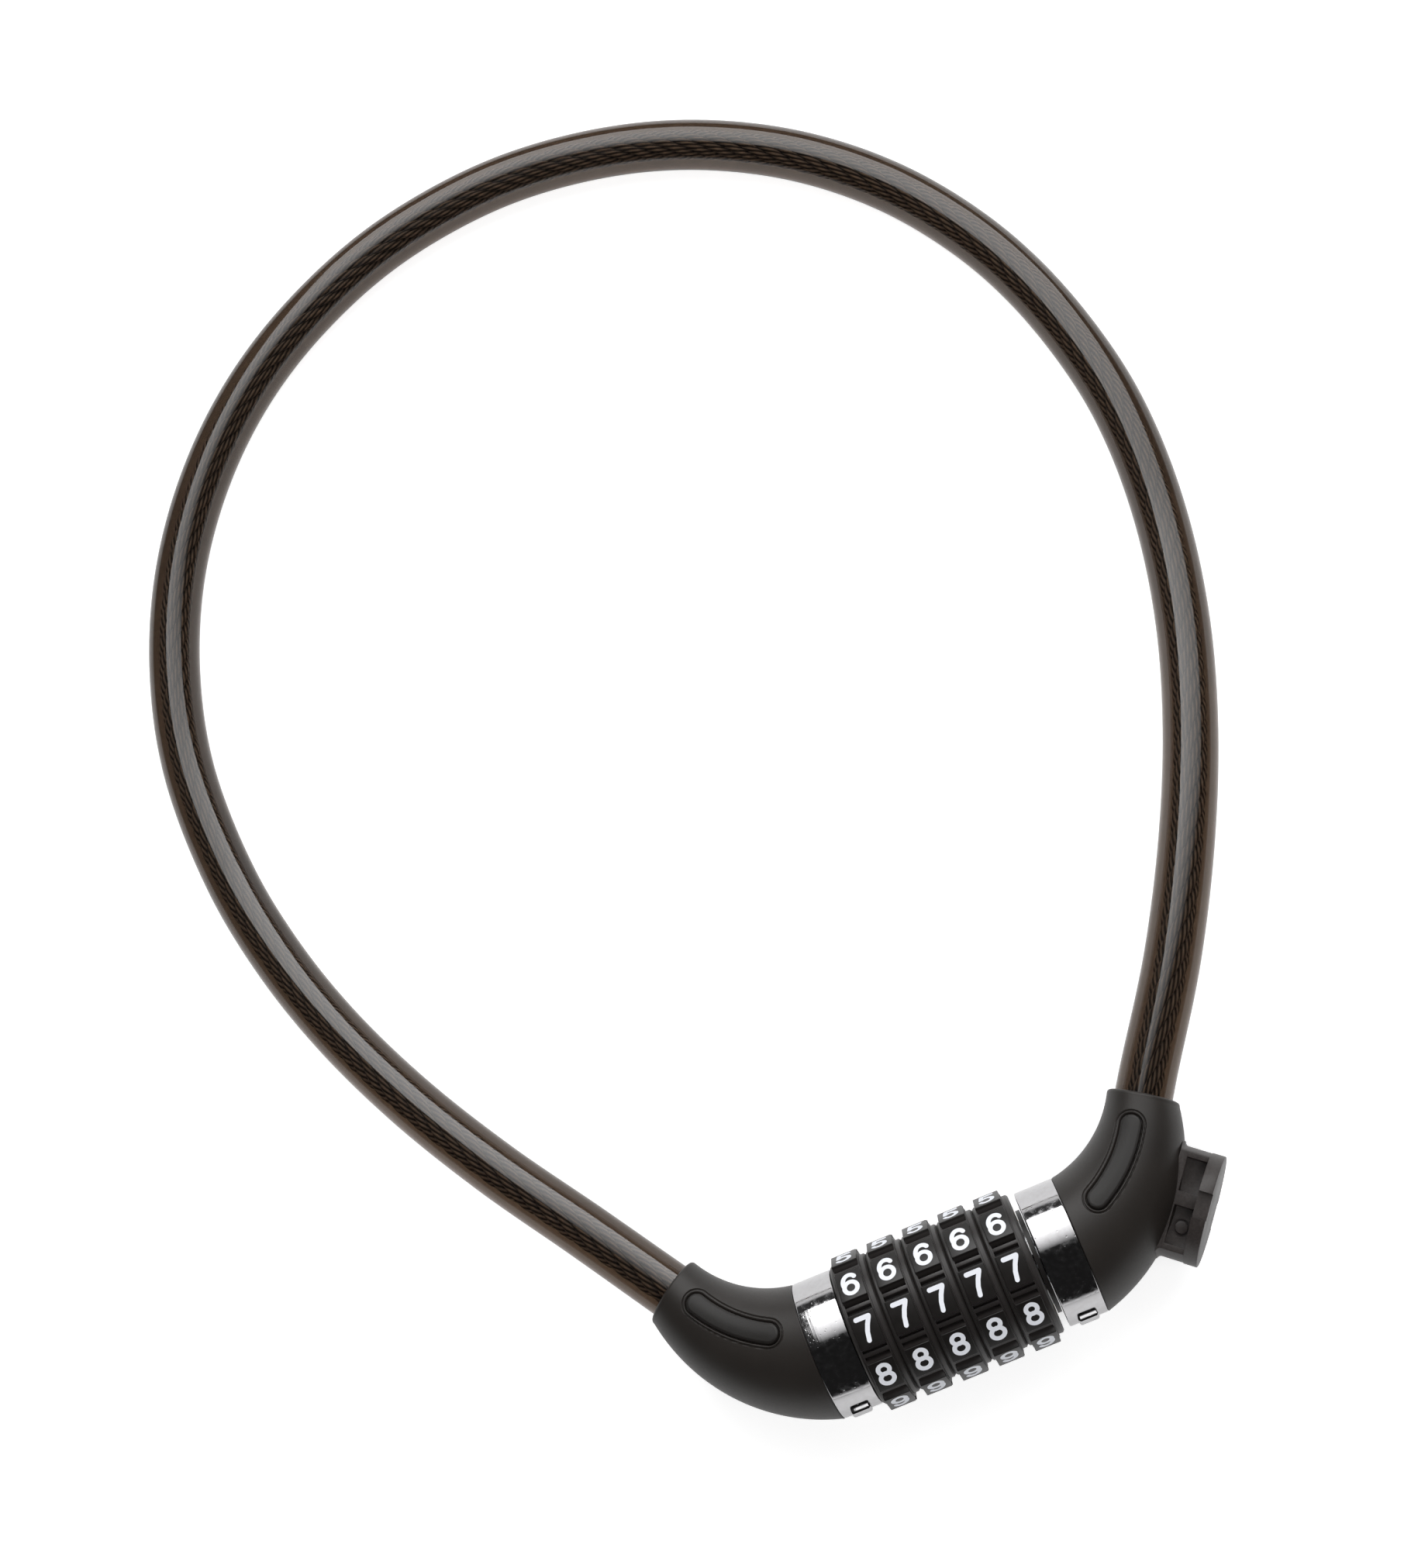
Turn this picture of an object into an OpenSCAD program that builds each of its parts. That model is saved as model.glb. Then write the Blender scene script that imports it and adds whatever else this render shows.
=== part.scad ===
// Five-dial combination cable lock, closed, lying on its dials and its cable.
// +X runs along the barrel from the fixed end to the plug, +Y points into the cable loop, +Z is up.
// The origin lies on the resting surface, under the middle of the third dial.

/* [Number wheels] */
// Height of the barrel axis over the resting surface, which is half a wheel across its flats
wheel_flat_r = 13.4; // [13:0.1:15]
// Distance from one wheel to the next along the barrel
wheel_pitch = 6.65; // [6.4:0.05:8]
// Gap between two neighbouring wheels
wheel_gap = 0.1; // [0.05:0.05:0.3]
// Radius of a wheel's round body between its number tiles
wheel_body_r = 12.4; // [12.2:0.1:12.8]
// Length of a number tile round the wheel
tile_l = 5.6; // [4.6:0.1:6.4]
// Width of a number tile along the barrel
tile_w = 4.6; // [3.6:0.1:5]
// Distance from a wheel's left face to its tiles
tile_margin = 0.6; // [0.55:0.05:0.8]
// Radius over the low ribs and rims between the tiles
rib_r = 12.9; // [12.8:0.1:13]
// Width of a low rib
rib_w = 0.7; // [0.4:0.1:1]
// Width of the thin rim on each side of the tiles
rim_w = 0.3; // [0.2:0.05:0.4]
// Bevel on both edges of a wheel's round body
wheel_bevel = 0.5; // [0.2:0.05:0.6]

/* [Code rings] */
// Outer radius of a code ring, where its wheel sits on it
code_ring_r = 9.8; // [9.6:0.1:10.4]
// Radius of the groove in a code ring in which a bolt fin turns
fin_groove_r = 8.9; // [8.8:0.1:9.1]
// Width of the fin groove along the barrel
fin_groove_w = 3.2; // [3:0.1:3.6]
// Radius of the detent notches in a code ring's bore
detent_notch_r = 0.7; // [0.5:0.05:0.8]
// Running clearance of a code ring on the core tube
ring_clearance = 0.05; // [0.02:0.01:0.09]

/* [Barrel] */
// Outer radius of the core tube on which the code rings turn
core_r = 7.5; // [7.3:0.1:7.8]
// Radius of the bolt
bolt_r = 4.15; // [3.8:0.05:4.4]
// Sliding clearance between the bolt and the core tube
bolt_clearance = 0.05; // [0.02:0.01:0.09]
// Outer radius of both chrome collars
collar_r = 12; // [11.8:0.1:12.2]
// Width of the left collar
left_collar_w = 7.2; // [6:0.1:9]
// Width of the right collar
right_collar_w = 7.05; // [6:0.05:9]
// Axial play between the left collar and the first wheel
end_play = 0.1; // [0.05:0.05:0.3]
// Width of the retaining ring that keeps the wheels on the core tube
retainer_w = 0.75; // [0.6:0.05:1.2]
// Outer radius of the retaining ring
retainer_r = 9.2; // [8.6:0.1:10]
// Gap between the retaining ring and the right collar
plug_gap = 0.2; // [0.1:0.05:0.4]
// Length of an index tab on a collar
index_l = 3.6; // [3:0.1:4.5]
// Width of an index tab
index_w = 2.4; // [1.8:0.1:3]
// Height of an index tab over its collar
index_h = 0.9; // [0.5:0.1:1.2]
// Angle from the top of the barrel to the index tabs
index_angle = 72; // [60:1:84]

/* [Bolt] */
// Width of a bolt fin along the barrel
fin_l = 2.2; // [1.6:0.1:2.4]
// Thickness of a bolt fin
fin_t = 2; // [1.5:0.1:2.4]
// Radius over the tips of the bolt fins
fin_r = 8.6; // [8.2:0.1:8.7]
// Clearance on each side of a fin in its slots
fin_clearance = 0.15; // [0.1:0.05:0.3]
// Space in the core tube behind the bolt's tip
bolt_tip_gap = 1.5; // [0.5:0.1:2]
// Radius of the pins across the bolt and the core tube
cross_pin_r = 1.2; // [0.8:0.1:1.4]

/* [Elbows] */
// Distance along the barrel from a collar to the middle of the elbow's mouth
elbow_run = 20; // [19:0.1:21]
// Distance across the barrel from its axis to the middle of the mouth
elbow_rise = 18.4; // [17.6:0.1:19.2]
// Angle between the barrel and the cable at the mouth
elbow_bend = 55.5; // [53:0.5:58]
// Outer diameter of the mouth
mouth_d = 12.6; // [12.2:0.1:13.2]
// Rounding of the mouth's lip
lip_round = 0.6; // [0.3:0.1:0.7]
// Half of the angle through which the inner side bends
inner_half_turn = 25.5; // [23:0.5:28]
// Half of the angle through which the outer side bends
outer_half_turn = 32; // [29:0.5:34]
// Radius of the casting's hub inside an elbow
hub_r = 9; // [8.6:0.1:9.4]
// Length of the hub inside the elbow
hub_l = 3.2; // [2.4:0.1:3.6]
// Radius of the casting's knee
knee_r = 6.2; // [5.8:0.1:6.4]
// Radius of the casting's cable arm
arm_r = 5.5; // [5.2:0.1:5.7]

/* [Grip pads] */
// Width of the groove round a grip pad
pad_groove_w = 5; // [4.4:0.1:5.4]
// Width of a grip pad
pad_w = 3.9; // [3.2:0.1:4]
// Length of a pad's groove along the elbow
pad_groove_l = 19; // [17:0.5:20]
// Depth of the groove round a grip pad
pad_depth = 0.8; // [0.5:0.1:0.9]
// Height of a grip pad over the elbow
pad_proud = 0.15; // [0:0.05:0.3]
// Distance of the pad from the inner side, as a part of the elbow's width
pad_side = 0.38; // [0.34:0.01:0.5]

/* [Bracket lug] */
// Diameter of the lug's round plate
lug_plate_d = 19.4; // [18:0.1:20]
// Thickness of the round plate
lug_plate_t = 2; // [1.6:0.1:2.6]
// Height of the lug's neck
neck_h = 9; // [8:0.5:10]
// Width of the neck
neck_w = 19.2; // [17.6:0.1:19.2]
// Length of the neck, from its line on the elbow to the plate
neck_l = 3.6; // [3:0.1:5]
// Width of the notch in the plate's rim
lug_notch_w = 4.6; // [3.6:0.1:5.4]
// Depth of the notch in the plate's rim
lug_notch_d = 1.4; // [1:0.1:1.8]
// Depth of the pockets in the neck
pocket_depth = 1.3; // [0.8:0.1:1.6]
// Width of the rib between the two pockets
pocket_rib_w = 2.4; // [1.8:0.1:3]
// Tilt of the plate's outer face towards the top
lug_tilt = 6; // [0:1:8]

/* [Cable] */
// Outer diameter of the cable's plastic sheath
cable_d = 10; // [9:0.1:10.2]
// Diameter of the wire rope in the sheath
rope_d = 4; // [3.6:0.1:4.2]
// Clearance between the rope and the sheath's bore
rope_clearance = 0.3; // [0.2:0.05:0.4]
// Clearance of the cable in an elbow's mouth
cable_clearance = 0.15; // [0.1:0.05:0.4]
// Outer radius of the ferrule on each end of the rope
ferrule_r = 4; // [3.6:0.1:4.1]
// Length of a ferrule
ferrule_l = 12; // [11:0.5:12]
// Length of rope held in a ferrule
rope_grip_l = 7; // [5:0.5:7.5]

/* [Hidden] */
$fn = 64;
// A cut runs past the solid that it cuts by this much
over = 1;
wheel_count = 5;
digits = 10;
digit_step = 360 / digits;

// Places along the barrel
axis_z = wheel_flat_r;
wheel_w = wheel_pitch - wheel_gap;
tile_root_r = (code_ring_r + wheel_body_r) / 2;
stack_left_x = -wheel_count / 2 * wheel_pitch;
stack_right_x = -stack_left_x;
left_collar_x = stack_left_x - end_play - left_collar_w;
right_collar_x = stack_right_x + end_play + retainer_w + plug_gap;
right_end_x = right_collar_x + right_collar_w;
fin_slot_w = fin_t + 2 * fin_clearance;
core_bore_r = bolt_r + bolt_clearance;
ring_bore_r = core_r + ring_clearance;
bolt_tip_x = stack_left_x + bolt_tip_gap;
// Distance of each cross pin from the left side of its collar
tube_pin_inset = 2.4;
bolt_pin_inset = 3.6;
tube_pin_x = left_collar_x + tube_pin_inset;
bolt_pin_x = right_collar_x + bolt_pin_inset;
// Distance of a pin's ends below the surface that it crosses
pin_inset = 0.2;
// Free space over the tips of the bolt's fins in the retaining ring
fin_tip_gap = 0.3;

// Depth to which an index tab runs into its collar
index_root = 1;
// Height of the wheels' rims over the ribs
rib_drop = 0.05;

// Detents: a ball on a spring under the land of each code ring
detent_angle = 180;
ball_r = 1.2;
spring_r = 1.1;
spring_wire_r = 0.25;
detent_clearance = 0.05;
detent_floor_t = 0.5;
spring_overlap = 0.3;
detent_hole_r = ball_r + detent_clearance;
detent_floor_r = core_bore_r + detent_floor_t;

// Elbow axes, in the elbow's own frame, whose origin is the middle of the collar's outer face
mouth_r = mouth_d / 2;
cable_dir = [cos(elbow_bend), sin(elbow_bend)];
knee_x = elbow_run - elbow_rise / tan(elbow_bend);
mouth_w = elbow_rise / sin(elbow_bend);
mouth_inner = [elbow_run, elbow_rise] + mouth_r * [-cable_dir[1], cable_dir[0]];
mouth_outer = [elbow_run, elbow_rise] - mouth_r * [-cable_dir[1], cable_dir[0]];
// Distances from the knee along the cable: the ferrule, the rope's end, the casting's end, the sheath's end
ferrule_w = 3;
arm_lip = 0.5;
sheath_gap = 1;
mouth_straight_l = 4;
ferrule_pin_inset = 2.5;
ferrule_pin_r = 1;
rope_end_w = ferrule_w + ferrule_l - rope_grip_l;
arm_end_w = ferrule_w + ferrule_l + arm_lip;
sheath_end_w = ferrule_w + ferrule_l + sheath_gap;
straight_w = mouth_w + mouth_straight_l;
pin_hole_w = ferrule_w + ferrule_pin_inset;
elbow_rings = 14;
elbow_sides = 32;

// Lug: its middle on the outer side of the right elbow, and the direction in which it points
lug_place = 0.58;
lug_facing = -39.5;
// Depth to which the neck runs into the elbow, and the wall that it keeps
lug_sink = 2.2;
lug_wall = 0.8;
// Pockets of the neck: where they start, the wall towards the plate and at the ends, the rib's offset
pocket_start = -0.8;
pocket_plate_wall = 0.6;
pocket_end_wall = 1.6;
pocket_rib_shift = 0.4;
lug_boss_r = 1.2;
lug_boss_l = 1.4;
plate_root = 0.4;

// Pads: their ends as parts of the elbow's length, the bend of the elbow there and of the pad itself
pad_from = 0.12;
pad_to = 0.92;
pad_half_turn = 16;
pad_bend_r = 26;

// Free stretch of the cable, from the left mouth round the loop to the right one
free_route = [
    [-55, 34.5, 13.2], [-67, 51.5, 12.2], [-78.5, 70, 10], [-88, 89, 7.6], [-94.5, 107, 5.8],
    [-98.5, 125.5, 5], [-99.5, 149.5, 5], [-96, 169.5, 5], [-89, 188, 5], [-79, 204, 5],
    [-66.5, 217.5, 5], [-52, 228, 5], [-33.5, 236.5, 5], [-17, 240.5, 5], [3, 241.5, 5],
    [23.5, 238, 5], [41.5, 231, 5], [59, 219.5, 5], [73.5, 204.5, 5], [84, 187.5, 5],
    [90.5, 170.5, 5], [94.5, 150, 5], [95, 134.5, 5], [93, 116.5, 5.2], [88, 96.5, 6.7],
    [80.5, 77, 8.9], [71, 58, 11.2], [59.5, 39, 12.9]
];
cable_sides = 12;
rope_sides = 8;

// A point on the axis of the cable in an elbow, at distance w from the elbow's knee
function left_point(w) = [left_collar_x - knee_x - w * cable_dir[0], w * cable_dir[1], axis_z];
function right_point(w) = [right_end_x + knee_x + w * cable_dir[0], w * cable_dir[1], axis_z];
sheath_route = concat(
    [left_point(sheath_end_w), left_point(straight_w)], free_route,
    [right_point(straight_w), right_point(sheath_end_w)]
);
rope_route = concat([left_point(rope_end_w)], sheath_route, [right_point(rope_end_w)]);

// A point at part t of the arc from a to b that turns through twice half_turn, bulging to the right of a-b
function arc_point(a, b, half_turn, t) =
    let (chord = norm(b - a), along = (b - a) / chord, across = [along[1], -along[0]])
    let (r = chord / (2 * sin(half_turn)), turn = half_turn * (2 * t - 1))
    (a + b) / 2 + r * sin(turn) * along + r * (cos(turn) - cos(half_turn)) * across;
function inner_edge(t) = arc_point([0, collar_r], mouth_inner, inner_half_turn, t);
function outer_edge(t) = arc_point([0, -collar_r], mouth_outer, outer_half_turn, t);

// One ring of an elbow: a circle that spans the gap between the inner and the outer edge
function elbow_ring(t, grow) =
    let (a = inner_edge(t), b = outer_edge(t), c = (a + b) / 2, e = (a - b) / norm(a - b))
    let (r = norm(a - b) / 2 + grow)
    [for (k = [0 : elbow_sides - 1])
        let (turn = 360 * k / elbow_sides)
        [c[0] + r * cos(turn) * e[0], c[1] + r * cos(turn) * e[1], r * sin(turn)]];
// The lip's last ring, drawn in and moved outwards
function lip_ring(grow) =
    [for (p = elbow_ring(1, grow - lip_round))
        p + lip_round * [cable_dir[0], cable_dir[1], 0]];

// Triangles of a tube whose rings follow each other in pts, with its two end caps
function tube_faces(rings, sides) = concat(
    [for (j = [0 : rings - 2], k = [0 : sides - 1], half = [0, 1])
        let (a = j * sides + k, b = j * sides + (k + 1) % sides)
        half == 0 ? [a, b + sides, b] : [a, a + sides, b + sides]],
    [[for (k = [0 : sides - 1]) k]],
    [[for (k = [sides - 1 : -1 : 0]) (rings - 1) * sides + k]]
);
// Triangles of a pipe: outer rings first, then as many inner rings, joined at both ends
function pipe_faces(rings, sides) =
    let (inner = rings * sides, last = (rings - 1) * sides)
    concat(
        [for (j = [0 : rings - 2], k = [0 : sides - 1], half = [0, 1])
            let (a = j * sides + k, b = j * sides + (k + 1) % sides)
            half == 0 ? [a, b + sides, b] : [a, a + sides, b + sides]],
        [for (j = [0 : rings - 2], k = [0 : sides - 1], half = [0, 1])
            let (a = inner + j * sides + k, b = inner + j * sides + (k + 1) % sides)
            half == 0 ? [a, b, b + sides] : [a, b + sides, a + sides]],
        [for (k = [0 : sides - 1], half = [0, 1])
            let (n = (k + 1) % sides)
            half == 0 ? [k, n, inner + k] : [n, inner + n, inner + k]],
        [for (k = [0 : sides - 1], half = [0, 1])
            let (n = (k + 1) % sides)
            half == 0 ? [last + k, inner + last + k, last + n]
                : [last + n, inner + last + k, inner + last + n]]
    );

// Direction of a route at its point i
function heading(route, i) =
    let (last = len(route) - 1, d = route[min(i + 1, last)] - route[max(i - 1, 0)])
    d / norm(d);
// Rings of radius r along a route, each upright and square to it
function route_rings(route, r, sides) =
    [for (i = [0 : len(route) - 1])
        let (h = heading(route, i), side_dir = cross([0, 0, 1], h), s = side_dir / norm(side_dir))
        let (up = cross(h, s))
        for (k = [0 : sides - 1])
            let (turn = 360 * k / sides)
            route[i] + r * cos(turn) * s + r * sin(turn) * up];

module along_barrel(x) {
    translate([x, 0, axis_z]) rotate([0, 90, 0]) children();
}
module bar(x, l, r) {
    along_barrel(x) cylinder(h = l, r = r);
}
module right_elbow_frame() {
    translate([right_end_x, 0, axis_z]) children();
}
module left_elbow_frame() {
    translate([left_collar_x, 0, axis_z]) mirror([1, 0, 0]) children();
}
// A round bar on the cable's axis in an elbow, from w to w + l
module arm_bar(w, l, r) {
    translate([knee_x, 0, 0]) rotate([0, 0, elbow_bend]) rotate([0, 90, 0])
        translate([0, 0, w]) cylinder(h = l, r = r);
}

module elbow_body(grow, lip) {
    rings = concat(
        [for (j = [0 : elbow_rings], p = elbow_ring(j / elbow_rings, grow)) p],
        lip ? lip_ring(grow) : []
    );
    polyhedron(rings, tube_faces(elbow_rings + (lip ? 2 : 1), elbow_sides), convexity = 4);
}
// The casting's outline in an elbow: a hub, a knee and an arm along the cable
module casting_outline() {
    rotate([0, 90, 0]) cylinder(h = hub_l, r = hub_r);
    rotate([0, 90, 0]) cylinder(h = knee_x, r = knee_r);
    translate([knee_x, 0, 0]) sphere(r = knee_r);
    arm_bar(0, arm_end_w, arm_r);
}
module elbow_cavity() {
    translate([-over, 0, 0]) rotate([0, 90, 0]) cylinder(h = hub_l + over, r = hub_r);
    casting_outline();
    arm_bar(arm_end_w - over, mouth_w, cable_d / 2 + cable_clearance);
}
// A flat outline that follows the elbow's bend and has round ends
module pad_outline(width) {
    start = pad_side * outer_edge(pad_from) + (1 - pad_side) * inner_edge(pad_from);
    end = pad_side * outer_edge(pad_to) + (1 - pad_side) * inner_edge(pad_to);
    mid = arc_point(start, end, pad_half_turn, 0.5);
    half = (pad_groove_l - pad_groove_w) / 2 / pad_bend_r * 180 / PI;
    dir = end - start;
    translate(mid) rotate(atan2(dir[1], dir[0])) translate([0, pad_bend_r]) {
        intersection() {
            difference() {
                circle(r = pad_bend_r + width / 2);
                circle(r = pad_bend_r - width / 2);
            }
            polygon([
                [0, 0], 2 * pad_bend_r * [sin(-half), -cos(half)],
                2 * pad_bend_r * [sin(half), -cos(half)]
            ]);
        }
        for (s = [-1, 1])
            translate(pad_bend_r * [s * sin(half), -cos(half)]) circle(d = width);
    }
}
module pad_prisms(width) {
    for (s = [0, 1])
        mirror([0, 0, s]) translate([0, 0, over]) linear_extrude(height = collar_r) pad_outline(width);
}
module grip_pads() {
    color([0.13, 0.13, 0.14]) difference() {
        intersection() {
            pad_prisms(pad_w);
            elbow_body(pad_proud, false);
        }
        elbow_body(-pad_depth, false);
    }
}
module elbow_cover_solid() {
    difference() {
        elbow_body(0, true);
        elbow_cavity();
        difference() {
            pad_prisms(pad_groove_w);
            elbow_body(-pad_depth, false);
        }
    }
}

// Places the lug's own frame: +X points out of its plate, +Y runs along the plate, up the elbow
module lug_frame() {
    p = outer_edge(lug_place);
    translate([p[0], p[1], 0]) rotate([0, 0, lug_facing]) children();
}
module lug_pocket(from, to) {
    for (s = [0, 1])
        mirror([0, 0, s])
            translate([pocket_start, from, neck_h / 2 - pocket_depth])
                cube([neck_l - pocket_plate_wall - pocket_start, to - from, pocket_depth + over]);
}
module bracket_lug() {
    pocket_end = neck_w / 2 - pocket_end_wall;
    rib_top = pocket_rib_shift + pocket_rib_w / 2;
    rib_bottom = pocket_rib_shift - pocket_rib_w / 2;
    difference() {
        union() {
            translate([-lug_sink, -neck_w / 2, -neck_h / 2]) cube([neck_l + lug_sink, neck_w, neck_h]);
            translate([neck_l, 0, 0]) rotate([0, 90 - lug_tilt, 0]) difference() {
                translate([0, 0, -plate_root]) cylinder(h = lug_plate_t + plate_root, d = lug_plate_d);
                for (s = [-1, 1])
                    translate([s * (lug_plate_d / 2 + over - lug_notch_d / 2), 0, 0])
                        cube([lug_notch_d + 2 * over, lug_notch_w, 3 * lug_plate_t], center = true);
            }
        }
        lug_pocket(rib_top, pocket_end);
        lug_pocket(-pocket_end, rib_bottom);
    }
    for (s = [-1, 1])
        translate([
            (neck_l - pocket_plate_wall + pocket_start) / 2, (rib_bottom - pocket_end) / 2,
            s * (neck_h / 2 - pocket_depth)
        ])
            cylinder(h = lug_boss_l, r = lug_boss_r, center = true);
}

module collar(x, w) {
    difference() {
        union() {
            bar(x, w, collar_r);
            translate([x + w / 2, 0, axis_z]) rotate([index_angle, 0, 0])
                translate([-index_l / 2, -index_w / 2, collar_r - index_root])
                    cube([index_l, index_w, index_h + index_root]);
        }
        bar(x - over, w + 2 * over, hub_r);
    }
}
// Small round bar across the barrel, from top to bottom
module cross_bar(x, r, l) {
    translate([x, 0, axis_z]) cylinder(h = l, r = r, center = true);
}

module left_collar() {
    color([0.82, 0.83, 0.85]) collar(left_collar_x, left_collar_w);
}
module right_collar() {
    color([0.82, 0.83, 0.85]) collar(right_collar_x, right_collar_w);
}
module left_elbow_cover() {
    color([0.1, 0.1, 0.11]) left_elbow_frame() elbow_cover_solid();
}
module right_elbow_cover() {
    color([0.1, 0.1, 0.11]) right_elbow_frame() {
        elbow_cover_solid();
        difference() {
            lug_frame() bracket_lug();
            elbow_body(-lug_wall, false);
        }
    }
}
module left_grip_pads() {
    left_elbow_frame() grip_pads();
}
module right_grip_pads() {
    right_elbow_frame() grip_pads();
}

module left_elbow_core() {
    color([0.55, 0.56, 0.58]) difference() {
        union() {
            bar(left_collar_x, left_collar_w, hub_r);
            left_elbow_frame() casting_outline();
        }
        bar(left_collar_x, left_collar_w + over, core_r);
        cross_bar(tube_pin_x, cross_pin_r, 2 * hub_r + over);
        left_elbow_frame() ferrule_seat();
    }
}
module right_elbow_core() {
    color([0.55, 0.56, 0.58]) difference() {
        union() {
            bar(right_collar_x, right_collar_w, hub_r);
            right_elbow_frame() casting_outline();
        }
        bar(right_collar_x - over, right_collar_w + hub_l + over, bolt_r);
        cross_bar(bolt_pin_x, cross_pin_r, 2 * hub_r + over);
        right_elbow_frame() ferrule_seat();
    }
}
module ferrule_seat() {
    arm_bar(ferrule_w, arm_end_w, ferrule_r);
    ferrule_pin_bar(2 * arm_r + over);
}
module ferrule_pin_bar(l) {
    translate([knee_x, 0, 0]) rotate([0, 0, elbow_bend])
        translate([pin_hole_w, 0, 0]) cylinder(h = l, r = ferrule_pin_r, center = true);
}
module ferrule() {
    color([0.7, 0.7, 0.72]) difference() {
        arm_bar(ferrule_w, ferrule_l, ferrule_r);
        arm_bar(rope_end_w, rope_grip_l + over, rope_d / 2);
        ferrule_pin_bar(2 * ferrule_r + over);
    }
}
module left_ferrule() {
    left_elbow_frame() ferrule();
}
module right_ferrule() {
    right_elbow_frame() ferrule();
}
module left_ferrule_pin() {
    color([0.6, 0.6, 0.62]) left_elbow_frame() ferrule_pin_bar(2 * (arm_r - pin_inset));
}
module right_ferrule_pin() {
    color([0.6, 0.6, 0.62]) right_elbow_frame() ferrule_pin_bar(2 * (arm_r - pin_inset));
}

// The tube that carries the code rings: slotted on top for the bolt's fins, drilled below for the detents
module core_tube() {
    tube_end_x = stack_right_x + end_play + retainer_w;
    color([0.62, 0.63, 0.65]) difference() {
        bar(left_collar_x, tube_end_x - left_collar_x, core_r);
        bar(left_collar_x - over, tube_end_x - left_collar_x + 2 * over, core_bore_r);
        translate([stack_left_x + wheel_pitch - fin_groove_w - fin_clearance, -fin_slot_w / 2, axis_z])
            cube([wheel_count * wheel_pitch + retainer_w + over, fin_slot_w, core_r + over]);
        for (i = [0 : wheel_count - 1])
            detent_frame(i) translate([0, 0, detent_floor_r]) cylinder(h = core_r, r = detent_hole_r);
        cross_bar(tube_pin_x, cross_pin_r, 2 * core_r + over);
    }
}
module tube_pin() {
    color([0.6, 0.6, 0.62]) cross_bar(tube_pin_x, cross_pin_r, 2 * (hub_r - pin_inset));
}
module bolt_pin() {
    color([0.6, 0.6, 0.62]) cross_bar(bolt_pin_x, cross_pin_r, 2 * (hub_r - pin_inset));
}
module retaining_ring() {
    color([0.12, 0.12, 0.13]) difference() {
        bar(stack_right_x + end_play, retainer_w, retainer_r);
        bar(stack_right_x, retainer_w + over, core_r);
        translate([stack_right_x, -fin_slot_w / 2, axis_z])
            cube([retainer_w + over, fin_slot_w, fin_r + fin_tip_gap]);
    }
}
// Middle of the land of code ring i, pointing at the detent from the barrel's axis
module detent_frame(i) {
    land_mid = (wheel_w - fin_groove_w) / 2;
    translate([stack_left_x + i * wheel_pitch + land_mid, 0, axis_z])
        rotate([detent_angle, 0, 0]) children();
}
module detent_balls() {
    color([0.75, 0.75, 0.77])
        for (i = [0 : wheel_count - 1])
            detent_frame(i) translate([0, 0, core_r - ball_r]) sphere(r = ball_r);
}
module detent_springs() {
    spring_l = core_r - 2 * ball_r - detent_floor_r + spring_overlap;
    color([0.7, 0.7, 0.72])
        for (i = [0 : wheel_count - 1])
            detent_frame(i) translate([0, 0, detent_floor_r]) difference() {
                cylinder(h = spring_l, r = spring_r);
                translate([0, 0, -over]) cylinder(h = spring_l + 2 * over, r = spring_r - spring_wire_r);
            }
}

module bolt() {
    tail_x = right_end_x + hub_l;
    color([0.72, 0.73, 0.75]) difference() {
        union() {
            bar(bolt_tip_x, tail_x - bolt_tip_x, bolt_r);
            for (i = [0 : wheel_count - 1])
                translate([stack_left_x + (i + 1) * wheel_pitch - wheel_gap - fin_groove_w / 2, 0, axis_z])
                    translate([-fin_l / 2, -fin_t / 2, 0]) cube([fin_l, fin_t, fin_r]);
        }
        cross_bar(bolt_pin_x, cross_pin_r, 2 * bolt_r + over);
    }
}

// One wheel: a round body with ten flat number tiles, a low rib in each gap and a thin rim on each side
module number_wheel(i) {
    x = stack_left_x + i * wheel_pitch;
    rim_right = tile_margin + tile_w;
    tile_x = tile_margin + rim_w / 2;
    color([0.09, 0.09, 0.1]) translate([x, 0, axis_z]) {
        rotate([0, 90, 0]) rotate_extrude() polygon([
            [code_ring_r, 0], [wheel_body_r - wheel_bevel, 0], [wheel_body_r, wheel_bevel],
            [wheel_body_r, tile_margin], [rib_r, tile_margin],
            [rib_r, tile_margin + rim_w], [wheel_body_r, tile_margin + rim_w],
            [wheel_body_r, rim_right], [rib_r, rim_right],
            [rib_r, rim_right + rim_w], [wheel_body_r, rim_right + rim_w],
            [wheel_body_r, wheel_w - wheel_bevel], [wheel_body_r - wheel_bevel, wheel_w],
            [code_ring_r, wheel_w]
        ]);
        for (k = [0 : digits - 1]) {
            rotate([k * digit_step, 0, 0]) translate([tile_x, -tile_l / 2, tile_root_r])
                cube([tile_w, tile_l, wheel_flat_r - tile_root_r]);
            rotate([(k + 0.5) * digit_step, 0, 0]) translate([tile_x, -rib_w / 2, tile_root_r])
                cube([tile_w, rib_w, rib_r - tile_root_r - rib_drop]);
        }
    }
}
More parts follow.
